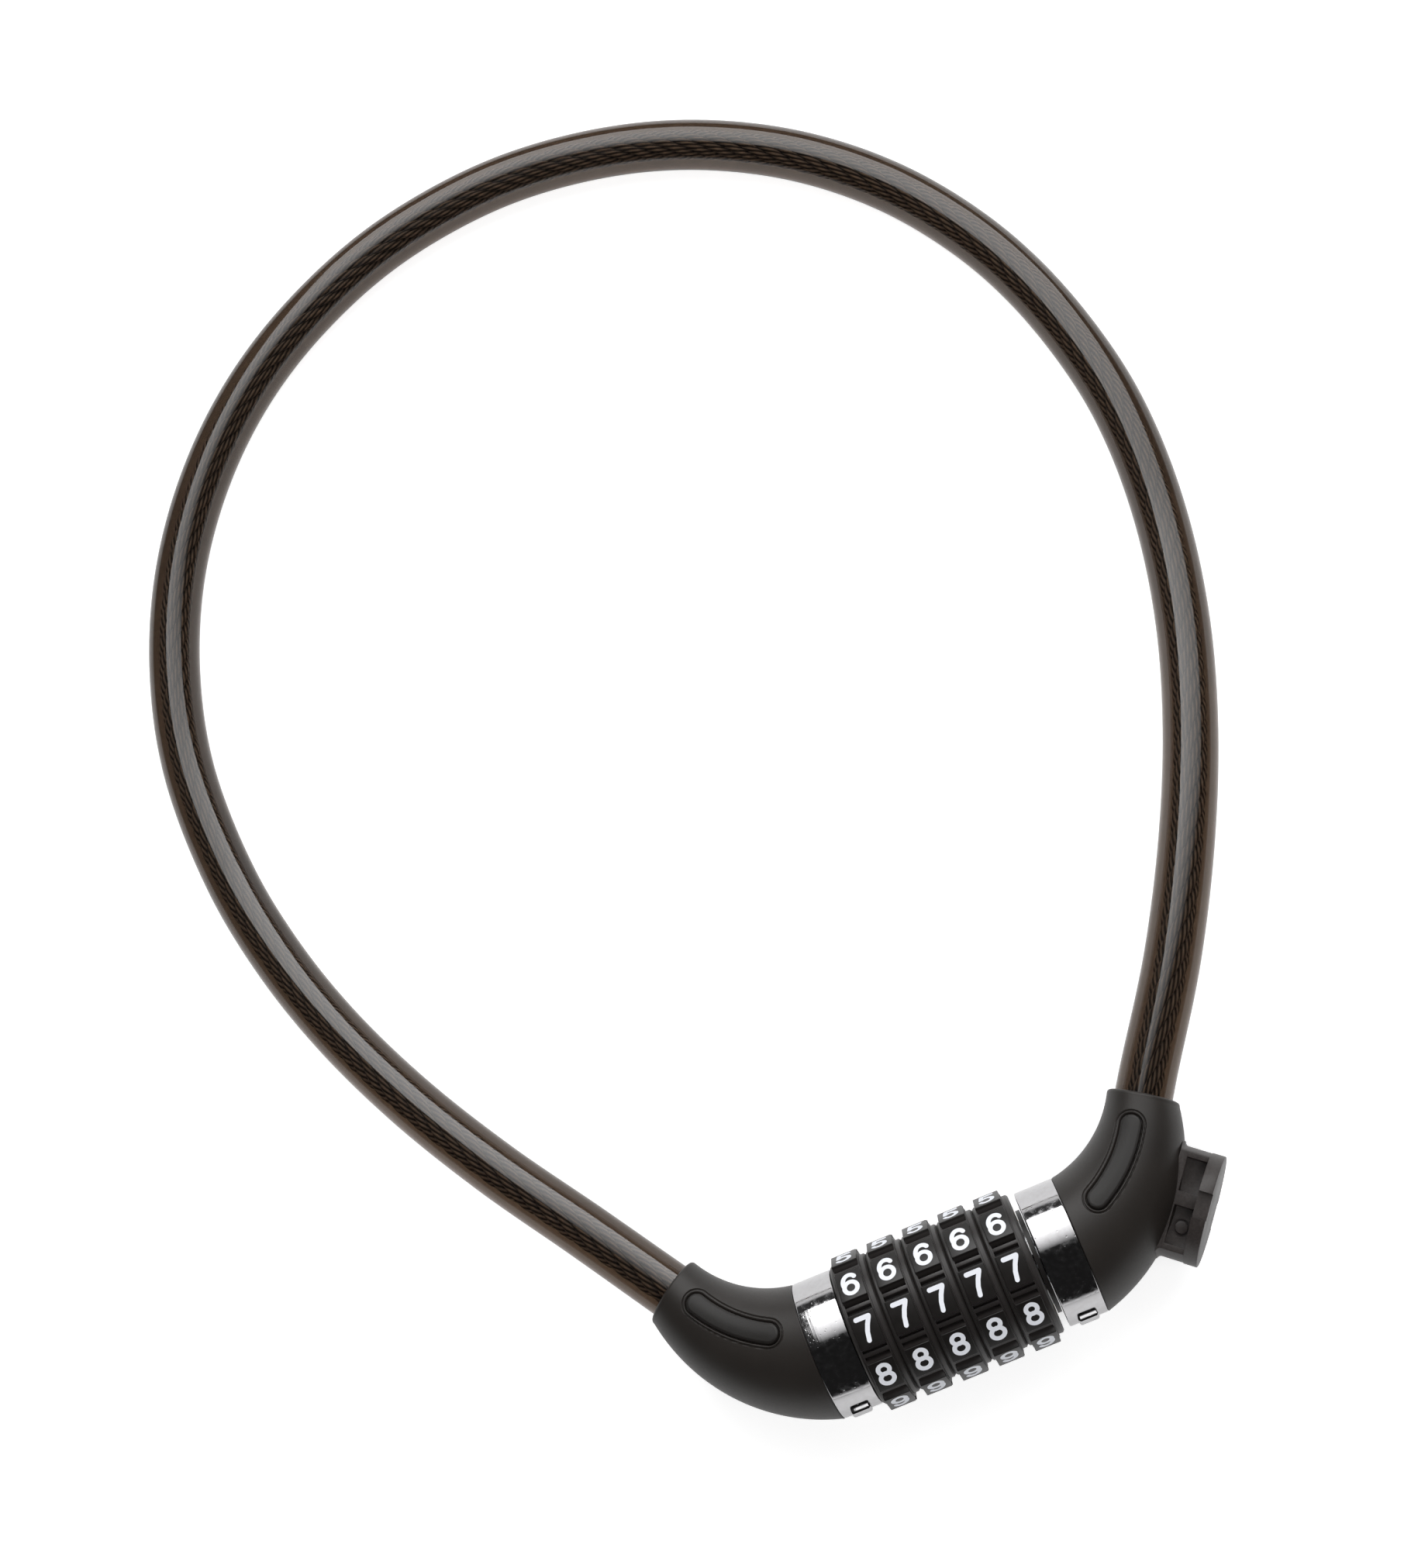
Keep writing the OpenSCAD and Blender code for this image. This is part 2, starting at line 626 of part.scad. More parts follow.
// One code ring: a land on the core tube with a notch for the fins, and a groove in which a fin turns
module code_ring(i) {
    x = stack_left_x + i * wheel_pitch;
    land_w = wheel_w - fin_groove_w;
    color([0.78, 0.68, 0.4]) difference() {
        bar(x, wheel_w, code_ring_r);
        bar(x - over, wheel_w + 2 * over, ring_bore_r);
        bar(x + land_w, fin_groove_w + over, fin_groove_r);
        translate([x - over, -fin_slot_w / 2, axis_z]) cube([wheel_w, fin_slot_w, fin_groove_r]);
        for (k = [1 : digits - 1])
            translate([x - over, 0, axis_z]) rotate([k * digit_step, 0, 0])
                translate([0, 0, ring_bore_r]) rotate([0, 90, 0])
                    cylinder(h = land_w + 2 * over, r = detent_notch_r);
    }
}

// The cable's plastic sheath, from elbow to elbow
module cable_sheath() {
    bore_r = rope_d / 2 + rope_clearance;
    rings = len(sheath_route);
    color([0.36, 0.34, 0.33, 0.7]) polyhedron(
        concat(
            route_rings(sheath_route, cable_d / 2, cable_sides),
            route_rings(sheath_route, bore_r, cable_sides)
        ),
        pipe_faces(rings, cable_sides), convexity = 6
    );
}
// The wire rope in the sheath, with both ends in their ferrules
module wire_rope() {
    color([0.5, 0.5, 0.5]) polyhedron(
        route_rings(rope_route, rope_d / 2, rope_sides),
        tube_faces(len(rope_route), rope_sides), convexity = 6
    );
}

left_elbow_cover();
left_grip_pads();
left_collar();
left_elbow_core();
core_tube();
tube_pin();
left_ferrule();
left_ferrule_pin();
retaining_ring();
detent_balls();
detent_springs();
number_wheel(0);  // number_wheel_1
number_wheel(1);  // number_wheel_2
number_wheel(2);  // number_wheel_3
number_wheel(3);  // number_wheel_4
number_wheel(4);  // number_wheel_5
code_ring(0);  // code_ring_1
code_ring(1);  // code_ring_2
code_ring(2);  // code_ring_3
code_ring(3);  // code_ring_4
code_ring(4);  // code_ring_5
right_elbow_cover();
right_grip_pads();
right_collar();
right_elbow_core();
bolt();
bolt_pin();
right_ferrule();
right_ferrule_pin();
cable_sheath();
wire_rope();
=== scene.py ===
"""A closed five-dial combination cable lock, dressed over its CAD frame.

Lengths are in millimetres in the values below and become metres through MM.
+X runs along the barrel from the fixed end to the plug, +Y into the cable loop, +Z is up.
"""
import math
import bpy
from mathutils import Matrix, Vector


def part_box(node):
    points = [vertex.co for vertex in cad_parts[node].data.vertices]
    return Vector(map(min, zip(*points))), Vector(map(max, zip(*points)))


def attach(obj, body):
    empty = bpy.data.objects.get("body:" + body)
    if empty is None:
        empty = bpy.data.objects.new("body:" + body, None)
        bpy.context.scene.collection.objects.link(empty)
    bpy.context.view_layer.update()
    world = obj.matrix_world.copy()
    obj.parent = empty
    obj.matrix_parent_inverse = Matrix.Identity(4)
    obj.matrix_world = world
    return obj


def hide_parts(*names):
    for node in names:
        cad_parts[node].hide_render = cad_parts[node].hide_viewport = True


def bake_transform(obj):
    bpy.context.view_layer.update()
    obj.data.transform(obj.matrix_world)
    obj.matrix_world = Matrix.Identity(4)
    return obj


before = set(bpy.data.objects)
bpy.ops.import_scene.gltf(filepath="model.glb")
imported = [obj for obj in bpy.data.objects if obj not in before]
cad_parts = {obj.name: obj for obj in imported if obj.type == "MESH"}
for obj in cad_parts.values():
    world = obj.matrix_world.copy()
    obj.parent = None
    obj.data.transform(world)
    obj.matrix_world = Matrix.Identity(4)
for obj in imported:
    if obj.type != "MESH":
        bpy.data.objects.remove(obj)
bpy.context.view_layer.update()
MM = 0.001

# ---------------------------------------------------------------- places taken from the CAD frame
WHEEL_LOW, WHEEL_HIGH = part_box("number_wheel_1")
AXIS_Z = (WHEEL_LOW.z + WHEEL_HIGH.z) / 2 / MM
WHEEL_X = [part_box(f"number_wheel_{i}")[0].x / MM for i in range(1, 6)]
WHEEL_W = (WHEEL_HIGH.x - WHEEL_LOW.x) / MM
LEFT_COLLAR_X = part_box("left_collar")[0].x / MM
LEFT_COLLAR_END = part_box("left_collar")[1].x / MM
RIGHT_COLLAR_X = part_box("right_collar")[0].x / MM
RIGHT_END_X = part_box("right_collar")[1].x / MM

# ---------------------------------------------------------------- camera
CAMERA_PLACE = (20.30, -11.47, 399.33)
CAMERA_TURN = (13.82, 9.59, -21.55)
CAMERA_LENS = 49.83
CAMERA_SENSOR = 36
CAMERA_NEAREST = 10

bpy.ops.object.camera_add(
    location=Vector(CAMERA_PLACE) * MM, rotation=[math.radians(a) for a in CAMERA_TURN]
)
camera = bpy.context.object
camera.data.lens = CAMERA_LENS
camera.data.sensor_width = CAMERA_SENSOR
camera.data.clip_start = CAMERA_NEAREST * MM
bpy.context.scene.camera = camera


# ---------------------------------------------------------------- small tools
TURNED_SIDES = 200


def srgb(code):
    """A colour written as sRGB hex, as the linear RGBA that shaders take"""
    parts = [int(code[i:i + 2], 16) / 255 for i in (1, 3, 5)]
    return [c / 12.92 if c <= 0.04045 else ((c + 0.055) / 1.055) ** 2.4 for c in parts] + [1]


def add(tree, kind, values=None, **settings):
    """Adds a node: settings are its properties, values its inputs, each a number or an output to link"""
    node = tree.nodes.new(kind)
    for name, setting in settings.items():
        setattr(node, name, setting)
    for key, value in (values or {}).items():
        if isinstance(value, bpy.types.NodeSocket):
            tree.links.new(value, node.inputs[key])
        else:
            node.inputs[key].default_value = value
    return node


def new_material(name, **sockets):
    """A material with its Principled shader's own sockets set"""
    material = bpy.data.materials.new(name)
    material.use_nodes = True
    shader = material.node_tree.nodes["Principled BSDF"]
    for key, value in sockets.items():
        shader.inputs[key.replace("_", " ")].default_value = value
    return material, material.node_tree, shader


def deselect():
    for item in bpy.context.selected_objects:
        item.select_set(False)


def take(piece):
    """Makes a piece the only one selected, and the active one"""
    deselect()
    piece.select_set(True)
    bpy.context.view_layer.objects.active = piece
    return piece


def named(name):
    """Names the new primitive and puts its place in its mesh"""
    piece = bpy.context.object
    piece.name = name
    piece.data.name = name
    bpy.ops.object.transform_apply(location=True, rotation=True, scale=True)
    return piece


def clean(piece):
    """Merges a piece's doubles and turns its faces outwards"""
    take(piece)
    bpy.ops.object.mode_set(mode="EDIT")
    bpy.ops.mesh.select_mode(type="VERT")
    bpy.ops.mesh.select_all(action="SELECT")
    bpy.ops.mesh.remove_doubles(threshold=0.002 * MM)
    bpy.ops.mesh.normals_make_consistent(inside=False)
    bpy.ops.object.mode_set(mode="OBJECT")
    return piece


def smooth(piece, degrees=30):
    take(piece)
    bpy.ops.object.shade_smooth_by_angle(angle=math.radians(degrees))
    return piece


def modify(piece, kind, **settings):
    """Adds a modifier and applies it"""
    take(piece)
    modifier = piece.modifiers.new(kind.title(), kind)
    for name, setting in settings.items():
        setattr(modifier, name, setting)
    bpy.ops.object.modifier_apply(modifier=modifier.name)
    return piece


def cut(piece, tool, operation="DIFFERENCE"):
    """Cuts a piece with a tool, or joins the tool to it, and deletes the tool"""
    modify(piece, "BOOLEAN", object=tool, operation=operation, solver="EXACT")
    bpy.data.objects.remove(tool)
    return piece


def joined(pieces, name):
    take(pieces[0])
    for piece in pieces:
        piece.select_set(True)
    if len(pieces) > 1:
        bpy.ops.object.join()
    piece = bpy.context.object
    piece.name = name
    piece.data.name = name
    return piece


def copied(piece, name, shift=(0, 0, 0)):
    """A copy with its own mesh, moved by shift"""
    copy = piece.copy()
    copy.data = piece.data.copy()
    copy.name = name
    copy.data.name = name
    bpy.context.collection.objects.link(copy)
    copy.data.transform(Matrix.Translation(Vector(shift)))
    return copy


def ring_tube(name, rings, sides):
    """A tube made from a circle that is extruded, turned and scaled from ring to ring.
    A ring is its centre, its heading round Z in degrees and its radius; equal first and last rings close it."""
    centre, heading, radius = Vector(rings[0][0]) * MM, rings[0][1], rings[0][2]
    deselect()
    bpy.ops.mesh.primitive_circle_add(
        vertices=sides, radius=radius * MM, location=centre,
        rotation=(0, math.pi / 2, math.radians(heading)),
    )
    piece = named(name)
    bpy.ops.object.mode_set(mode="EDIT")
    bpy.ops.mesh.select_mode(type="VERT")
    bpy.ops.mesh.select_all(action="SELECT")
    for place, turned, size in rings[1:]:
        place = Vector(place) * MM
        bpy.ops.mesh.extrude_region_move(TRANSFORM_OT_translate={"value": place - centre})
        if turned != heading:
            bpy.ops.transform.rotate(
                value=math.radians(heading - turned), orient_axis="Z", orient_type="GLOBAL",
                center_override=place,
            )
        if size != radius:
            bpy.ops.transform.resize(value=[size / radius] * 3, center_override=place)
        centre, heading, radius = place, turned, size
    bpy.ops.object.mode_set(mode="OBJECT")
    return clean(piece)


def turned_ring(name, profile):
    """A closed ring turned round the barrel's axis from its (x, radius) outline"""
    return ring_tube(name, [((x, 0, AXIS_Z), 0, r) for x, r in profile + profile[:1]], TURNED_SIDES)


def rounded_end(x, r, size, direction, steps=4):
    """(x, radius) points of an outer edge rounded by size, on a face at x that looks in direction"""
    return [
        (x - direction * size * (1 - math.sin(a)), r - size * (1 - math.cos(a)))
        for a in [math.pi / 2 * i / steps for i in range(steps + 1)]
    ]


def box_at(name, centre, size, turn=(0, 0, 0)):
    """A box primitive, with centre and size in mm and its turn in degrees"""
    deselect()
    bpy.ops.mesh.primitive_cube_add(
        size=1, location=Vector(centre) * MM, rotation=[math.radians(a) for a in turn],
        scale=Vector(size) * MM,
    )
    return named(name)


def finish_piece(piece, body, slot_name, material, *nodes):
    """Gives a piece its body and its material, and hides the CAD nodes that it stands for; slot_name is not
    used
    """
    piece.data.materials.clear()
    piece.data.materials.append(material)
    if body:
        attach(piece, body)
    if nodes:
        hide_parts(*nodes)
    return piece


# ---------------------------------------------------------------- materials
def grain(tree, size, detail=2.0):
    """Noise on Object coordinates whose grains are size mm across"""
    place = add(tree, "ShaderNodeTexCoord")
    return add(tree, "ShaderNodeTexNoise", {
        "Vector": place.outputs["Object"], "Scale": 1 / (size * MM), "Detail": detail,
    }).outputs["Fac"]


def two_tone(tree, factor, dark, light):
    """A colour between two sRGB codes"""
    return add(tree, "ShaderNodeMix", {
        "Factor": factor, "A": srgb(dark), "B": srgb(light),
    }, data_type="RGBA").outputs["Result"]


def mixed(tree, factor, low, high):
    """A number between two others, each of them a number or an output"""
    return add(tree, "ShaderNodeMix", {
        "Factor": factor, "A": low, "B": high,
    }, data_type="FLOAT").outputs["Result"]


def ranged(tree, value, low, high, start=0.0, end=1.0):
    """A value between start and end, as the same share of the way from low to high"""
    return add(tree, "ShaderNodeMapRange", {
        "Value": value, "From Min": start, "From Max": end, "To Min": low, "To Max": high,
    }).outputs["Result"]


def worked_out(tree, operation, *values):
    """The result of one Math node"""
    return add(tree, "ShaderNodeMath", dict(enumerate(values)), operation=operation).outputs["Value"]


def bump(tree, height, depth, strength):
    """A bump whose height of 1 stands for depth mm"""
    return add(tree, "ShaderNodeBump", {
        "Height": height, "Distance": depth * MM, "Strength": strength,
    }).outputs["Normal"]


def dress(tree, shader, colour, rough, relief=None):
    """Links a surface's colour, roughness and bump to its shader"""
    tree.links.new(colour, shader.inputs["Base Color"])
    tree.links.new(rough, shader.inputs["Roughness"])
    if relief:
        tree.links.new(relief, shader.inputs["Normal"])


def soft_touch_plastic():
    """Soft-touch coated ABS, moulded in an eroded tool: matte charcoal with a fine dry grain"""
    material, tree, shader = new_material("soft_touch_abs_moulded", IOR=1.46, Specular_IOR_Level=0.45)
    # An eroded tool leaves grains of 0.1 mm; they are drawn at 0.28 mm so that they show
    fine = grain(tree, 0.28, 3)
    dress(
        tree, shader, two_tone(tree, grain(tree, 9), "#201d1b", "#2b2724"),
        ranged(tree, fine, 0.36, 0.52), bump(tree, fine, 0.02, 0.5),
    )
    return material


def moulded(name, dark, light, rough_low, rough_high, size=0.3, depth=0.02):
    """A dark moulding: its eroded grain is drawn size mm across and depth mm deep so that it shows"""
    material, tree, shader = new_material(name, IOR=1.5, Specular_IOR_Level=0.4)
    fine = grain(tree, size, 3)
    dress(
        tree, shader, two_tone(tree, fine, dark, light),
        ranged(tree, fine, rough_low, rough_high), bump(tree, fine, depth, 0.5),
    )
    return material


# Past this radius the wheel's colour turns from its lighter walls, a painted light, to its darker tile tops
TOP_SPLIT_R, TOP_SPLIT_FADE = 13.2, 0.12


def wheel_abs():
    """Injection-moulded ABS: matt walls, rims and ribs painted lighter as painted light, and darker, glossier
    tile tops
    """
    material, tree, shader = new_material("black_abs_moulded", IOR=1.54, Specular_IOR_Level=0.4)
    place = add(tree, "ShaderNodeTexCoord")
    # Distance from the barrel's axis: only the tile tops reach past the split radius; inside it the walls, rims
    # and ribs get a lighter colour, painted light that stands for the light falling into the trenches
    across = add(tree, "ShaderNodeVectorMath", {
        0: place.outputs["Object"], 1: (0, 1, 1), 2: (0, 0, -AXIS_Z * MM),
    }, operation="MULTIPLY_ADD")
    radius = add(tree, "ShaderNodeVectorMath", {0: across.outputs["Vector"]}, operation="LENGTH")
    top_share = ranged(
        tree, radius.outputs["Value"], 0.0, 1.0, TOP_SPLIT_R * MM, (TOP_SPLIT_R + TOP_SPLIT_FADE) * MM,
    )
    cloud = grain(tree, 1.2, 4)
    # The walls, rims and ribs get the lighter colour as painted light; the tile tops keep the plastic's own
    # darker cloud
    colour = add(tree, "ShaderNodeMix", {
        "Factor": top_share, "A": srgb("#292625"), "B": two_tone(tree, cloud, "#141211", "#1d1a19"),
    }, data_type="RGBA")
    dress(
        tree, shader, colour.outputs["Result"],
        mixed(tree, top_share, 0.4, ranged(tree, cloud, 0.28, 0.42)), bump(tree, grain(tree, 0.25), 0.01, 0.4),
    )
    return material


def digit_paint():
    """White ink, pad-printed into the tile: chalky, a touch cool, slightly uneven"""
    material, tree, shader = new_material("white_ink_pad_printed", IOR=1.5)
    fine = grain(tree, 0.35, 3)
    dress(tree, shader, two_tone(tree, fine, "#e3e6ee", "#eff1f6"), ranged(tree, fine, 0.45, 0.6))
    return material


def chrome_plate():
    """Chrome, plated on polished zinc: a dark mirror with handling scratches and small pits"""
    material, tree, shader = new_material("chrome_plated_zinc", Metallic=1.0)
    place = add(tree, "ShaderNodeTexCoord")
    # Turning marks run round the barrel, so the pattern is stretched across it
    along = add(tree, "ShaderNodeMapping", {
        "Vector": place.outputs["Object"], "Scale": (2200, 60, 60),
    })
    marks = add(tree, "ShaderNodeTexNoise", {"Vector": along.outputs["Vector"], "Scale": 1, "Detail": 3})
    pits = add(tree, "ShaderNodeTexVoronoi", {"Vector": place.outputs["Object"], "Scale": 1 / (1.1 * MM)})
    pit = ranged(tree, pits.outputs["Distance"], 0.0, 1.0, 0.05, 0.16)
    scuffs = grain(tree, 0.9, 5)
    dress(
        tree, shader, two_tone(tree, scuffs, "#b4b2b3", "#cbcbcd"),
        ranged(tree, scuffs, 0.06, 0.24, 0.4, 0.75),
        bump(tree, worked_out(tree, "ADD", marks.outputs["Fac"], pit), 0.016, 0.7),
    )
    return material


def metal(name, dark, light, rough_low, rough_high, size):
    """A bare metal whose cast or machined skin varies over size mm"""
    material, tree, shader = new_material(name, Metallic=1.0)
    skin = grain(tree, size, 4)
    dress(
        tree, shader, two_tone(tree, skin, dark, light),
        ranged(tree, skin, rough_low, rough_high), bump(tree, skin, 0.02, 0.4),
    )
    return material


def smoked_vinyl():
    """Smoke-tinted flexible PVC, extruded over the rope: clear brown-grey, glossy, faintly wavy"""
    material, tree, shader = new_material(
        "smoke_tinted_pvc_extruded", IOR=1.46, Transmission_Weight=1.0, Coat_Roughness=0.06,
    )
    waves = grain(tree, 6)
    dress(
        tree, shader, two_tone(tree, waves, "#48392d", "#544437"),
        ranged(tree, waves, 0.03, 0.1), bump(tree, waves, 0.08, 0.3),
    )
    # The skin shines where it faces the eye; towards the sides the smoke tint takes over
    facing = add(tree, "ShaderNodeLayerWeight", {"Blend": 0.5})
    gloss = ranged(tree, facing.outputs["Facing"], 1.0, 0.0, 0.08, 0.25)
    tree.links.new(gloss, shader.inputs["Coat Weight"])
    return material


# Finer wires would vanish behind the sheath, so six are drawn where a real strand shows nine
WIRES_IN_STRAND = 6
WIRE_SLANT = 0.55


def rope_steel():
    """Zinc-coated steel wires, drawn and laid into strands: greasy grey, with fine lines over each strand where
    the grooves between the wires are painted darker as painted shade
    """
    material, tree, shader = new_material("galvanised_steel_rope", Metallic=0.85)
    place = add(tree, "ShaderNodeUVMap", uv_map="wires")
    # The strand's UV runs 1 per mm along it and 1 round it; the wires cross it at a slant
    parts = add(tree, "ShaderNodeSeparateXYZ", {"Vector": place.outputs["UV"]})
    slant = worked_out(tree, "MULTIPLY", parts.outputs["X"], WIRE_SLANT)
    round_it = worked_out(tree, "MULTIPLY", parts.outputs["Y"], WIRES_IN_STRAND)
    turn = worked_out(tree, "MULTIPLY", worked_out(tree, "ADD", slant, round_it), 2 * math.pi)
    height = ranged(tree, worked_out(tree, "SINE", turn), 0.0, 1.0, -1.0, 1.0)
    # Dark in the grooves between the wires and light on their crowns: the grooves' darkness is painted shade
    dress(
        tree, shader, two_tone(tree, height, "#4a4542", "#dcd8d3"),
        ranged(tree, grain(tree, 1.5, 3), 0.3, 0.5), bump(tree, height, 0.2, 0.9),
    )
    return material


COVER = soft_touch_plastic()
# Thermoplastic rubber, moulded into the cover: the same black, a little closer in its grain
RUBBER = moulded("grip_rubber_moulded", "#151311", "#1d1a18", 0.42, 0.54)
# Glass-filled ABS, moulded without the soft coat: a drier, greyer black with a coarse mottle
LUG_ABS = moulded("glass_filled_abs_moulded", "#262221", "#3e3937", 0.34, 0.46, 0.45, 0.05)
ABS = wheel_abs()
INK = digit_paint()
CHROME = chrome_plate()
PVC = smoked_vinyl()
ROPE = rope_steel()
# Die-cast zinc keeps a dull, slightly mottled skin
ZINC = metal("zinc_die_cast", "#7f8184", "#989a9d", 0.4, 0.6, 1.5)
# Turned steel is bright, with fine tool marks
STEEL = metal("bright_steel_turned", "#a9abae", "#c6c8cb", 0.18, 0.32, 0.6)
# Turned brass is warm and lightly tarnished
BRASS = metal("brass_turned", "#a98a4c", "#cdb069", 0.25, 0.4, 0.8)

# ---------------------------------------------------------------- cable
CABLE_D = 10
ROPE_D = 4
ELBOW_RUN, ELBOW_RISE, ELBOW_BEND = 20, 18.4, 55.5
SHEATH_END, ROPE_END, STRAIGHT_END = 16, 8, 4
COLLAR_R = 12
MOUTH_D = 12.6
BEND = math.radians(ELBOW_BEND)
KNEE_X = ELBOW_RUN - ELBOW_RISE / math.tan(BEND)
MOUTH_W = ELBOW_RISE / math.sin(BEND)
FREE_ROUTE = [
    (-55, 34.5, 13.2), (-67, 51.5, 12.2), (-78.5, 70, 10), (-88, 89, 7.6), (-94.5, 107, 5.8),
    (-98.5, 125.5, 5), (-99.5, 149.5, 5), (-96, 169.5, 5), (-89, 188, 5), (-79, 204, 5),
    (-66.5, 217.5, 5), (-52, 228, 5), (-33.5, 236.5, 5), (-17, 240.5, 5), (3, 241.5, 5),
    (23.5, 238, 5), (41.5, 231, 5), (59, 219.5, 5), (73.5, 204.5, 5), (84, 187.5, 5),
    (90.5, 170.5, 5), (94.5, 150, 5), (95, 134.5, 5), (93, 116.5, 5.2), (88, 96.5, 6.7),
    (80.5, 77, 8.9), (71, 58, 11.2), (59.5, 39, 12.9),
]


def elbow_place(side, x, y, z=0):
    """A point of an elbow's own frame, which starts at its collar, in the lock's frame"""
    end = RIGHT_END_X if side > 0 else LEFT_COLLAR_X
    return Vector((end + side * x, y, AXIS_Z + z))


def cable_point(side, w):
    """The cable's axis in an elbow, w from the elbow's knee"""
    return elbow_place(side, KNEE_X + w * math.cos(BEND), w * math.sin(BEND))


SHEATH_ROUTE = [cable_point(-1, SHEATH_END), cable_point(-1, MOUTH_W + STRAIGHT_END)]
SHEATH_ROUTE += [Vector(p) for p in FREE_ROUTE]
SHEATH_ROUTE += [cable_point(1, MOUTH_W + STRAIGHT_END), cable_point(1, SHEATH_END)]
ROPE_ROUTE = [cable_point(-1, ROPE_END)] + SHEATH_ROUTE + [cable_point(1, ROPE_END)]


def smooth_route(route, step):
    """Points every step mm or so on one smooth curve through a route"""
    points = [2 * route[0] - route[1]] + route + [2 * route[-1] - route[-2]]
    found = []
    for i in range(1, len(points) - 2):
        a, b, c, d = points[i - 1:i + 3]
        ab, bc, cd = (b - a).length ** 0.5, (c - b).length ** 0.5, (d - c).length ** 0.5
        start = bc * ((b - a) / ab - (c - a) / (ab + bc) + (c - b) / bc)
        end = bc * ((c - b) / bc - (d - b) / (bc + cd) + (d - c) / cd)
        count = max(1, round((c - b).length / step))
        for j in range(count):
            t = j / count
            found.append(
                b * (2 * t ** 3 - 3 * t ** 2 + 1) + start * (t ** 3 - 2 * t ** 2 + t)
                + c * (3 * t ** 2 - 2 * t ** 3) + end * (t ** 3 - t ** 2)
            )
    return found + [route[-1]]


def frames_along(points):
    """For each point, its distance from the start and two directions across, carried along without twist"""
    across, result, travelled = None, [], 0
    for i, point in enumerate(points):
        heading = (points[min(i + 1, len(points) - 1)] - points[max(i - 1, 0)]).normalized()
        across = Vector((0, 0, 1)) if across is None else across
        across = (across - across.dot(heading) * heading).normalized()
        if i:
            travelled += (point - points[i - 1]).length
        result.append((travelled, across, heading.cross(across)))
    return result


def tube_mesh(name, centres, offsets, radius, sides):
    """A closed tube of rings round the centres; offsets are each ring's two directions across it"""
    vertices, faces = [], []
    for centre, (_, up, beside) in zip(centres, offsets):
        for k in range(sides):
            turn = 2 * math.pi * k / sides
            vertices.append((centre + radius * (math.cos(turn) * up + math.sin(turn) * beside)) * MM)
    for j in range(len(centres) - 1):
        for k in range(sides):
            a, b = j * sides + k, j * sides + (k + 1) % sides
            faces.append((a, b, b + sides, a + sides))
    last = (len(centres) - 1) * sides
    faces += [tuple(range(sides - 1, -1, -1)), tuple(range(last, last + sides))]
    mesh = bpy.data.meshes.new(name)
    mesh.from_pydata(vertices, [], faces)
    piece = bpy.data.objects.new(name, mesh)
    bpy.context.collection.objects.link(piece)
    marks = mesh.uv_layers.new(name="wires")
    for face in mesh.polygons:
        for loop in face.loop_indices:
            ring, k = divmod(mesh.loops[loop].vertex_index, sides)
            wraps = k == 0 and any(mesh.loops[n].vertex_index % sides == sides - 1 for n in face.loop_indices)
            marks.data[loop].uv = (offsets[ring][0], (sides if wraps else k) / sides)
    return clean(piece)


LAY_LENGTH = 26
STRANDS = 6
STRAND_R = ROPE_D / 6
SHEATH_STEP, SHEATH_SIDES = 1.6, 48
STRAND_STEP, STRAND_SIDES = 1.1, 10


def make_sheath():
    points = smooth_route(SHEATH_ROUTE, SHEATH_STEP)
    for point in points:
        point.z = max(point.z, CABLE_D / 2)
    piece = tube_mesh("sheath", points, frames_along(points), CABLE_D / 2, SHEATH_SIDES)
    return smooth(piece, 60), points


def make_strand(number, points, frames):
    """One strand of the rope, wound round the rope's own line with a right-hand lay"""
    centres = []
    for point, (travelled, up, beside) in zip(points, frames):
        turn = 2 * math.pi * (travelled / LAY_LENGTH + number / STRANDS)
        centres.append(point + 2 * STRAND_R * (math.cos(turn) * up + math.sin(turn) * beside))
    offsets = frames_along(centres)
    piece = tube_mesh(f"rope_strand_{number + 1}", centres, offsets, STRAND_R, STRAND_SIDES)
    return smooth(piece, 60)


def make_rope():
    points = smooth_route(ROPE_ROUTE, STRAND_STEP)
    frames = frames_along(points)
    strands = [make_strand(number, points, frames) for number in range(STRANDS)]
    heart = tube_mesh("rope_core", points, frames, STRAND_R, STRAND_SIDES)
    return strands + [smooth(heart, 60)]


sheath, sheath_points = make_sheath()
finish_piece(sheath, None, "clear_smoke_vinyl", PVC, "cable_sheath")
# Light reaches the rope through the clear sheath, so the sheath itself keeps none back
sheath.visible_shadow = False
rope = make_rope()
for strand in rope:
    finish_piece(strand, None, "wire_rope_steel", ROPE)
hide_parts("wire_rope")
for piece in [sheath] + rope:
    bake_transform(piece)

# ---------------------------------------------------------------- elbows
INNER_HALF_TURN, OUTER_HALF_TURN = 25.5, 32
ELBOW_RINGS, ELBOW_SIDES = 90, 200
LIP_ROUND, LIP_STEPS = 0.6, 6
COLLAR_EDGE, COLLAR_EDGE_STEPS = 0.15, 5
BORE_R, BORE_L, BORE_EDGE = CABLE_D / 2 + 0.15, 5.5, 0.15
COVER_WALL = 1.8
INSIDE_STATIONS = (0.55, 0.35, 0.15)
CABLE_DIR = Vector((math.cos(BEND), math.sin(BEND), 0))
MOUTH_ACROSS = Vector((-CABLE_DIR.y, CABLE_DIR.x, 0))
MOUTH = Vector((ELBOW_RUN, ELBOW_RISE, 0))


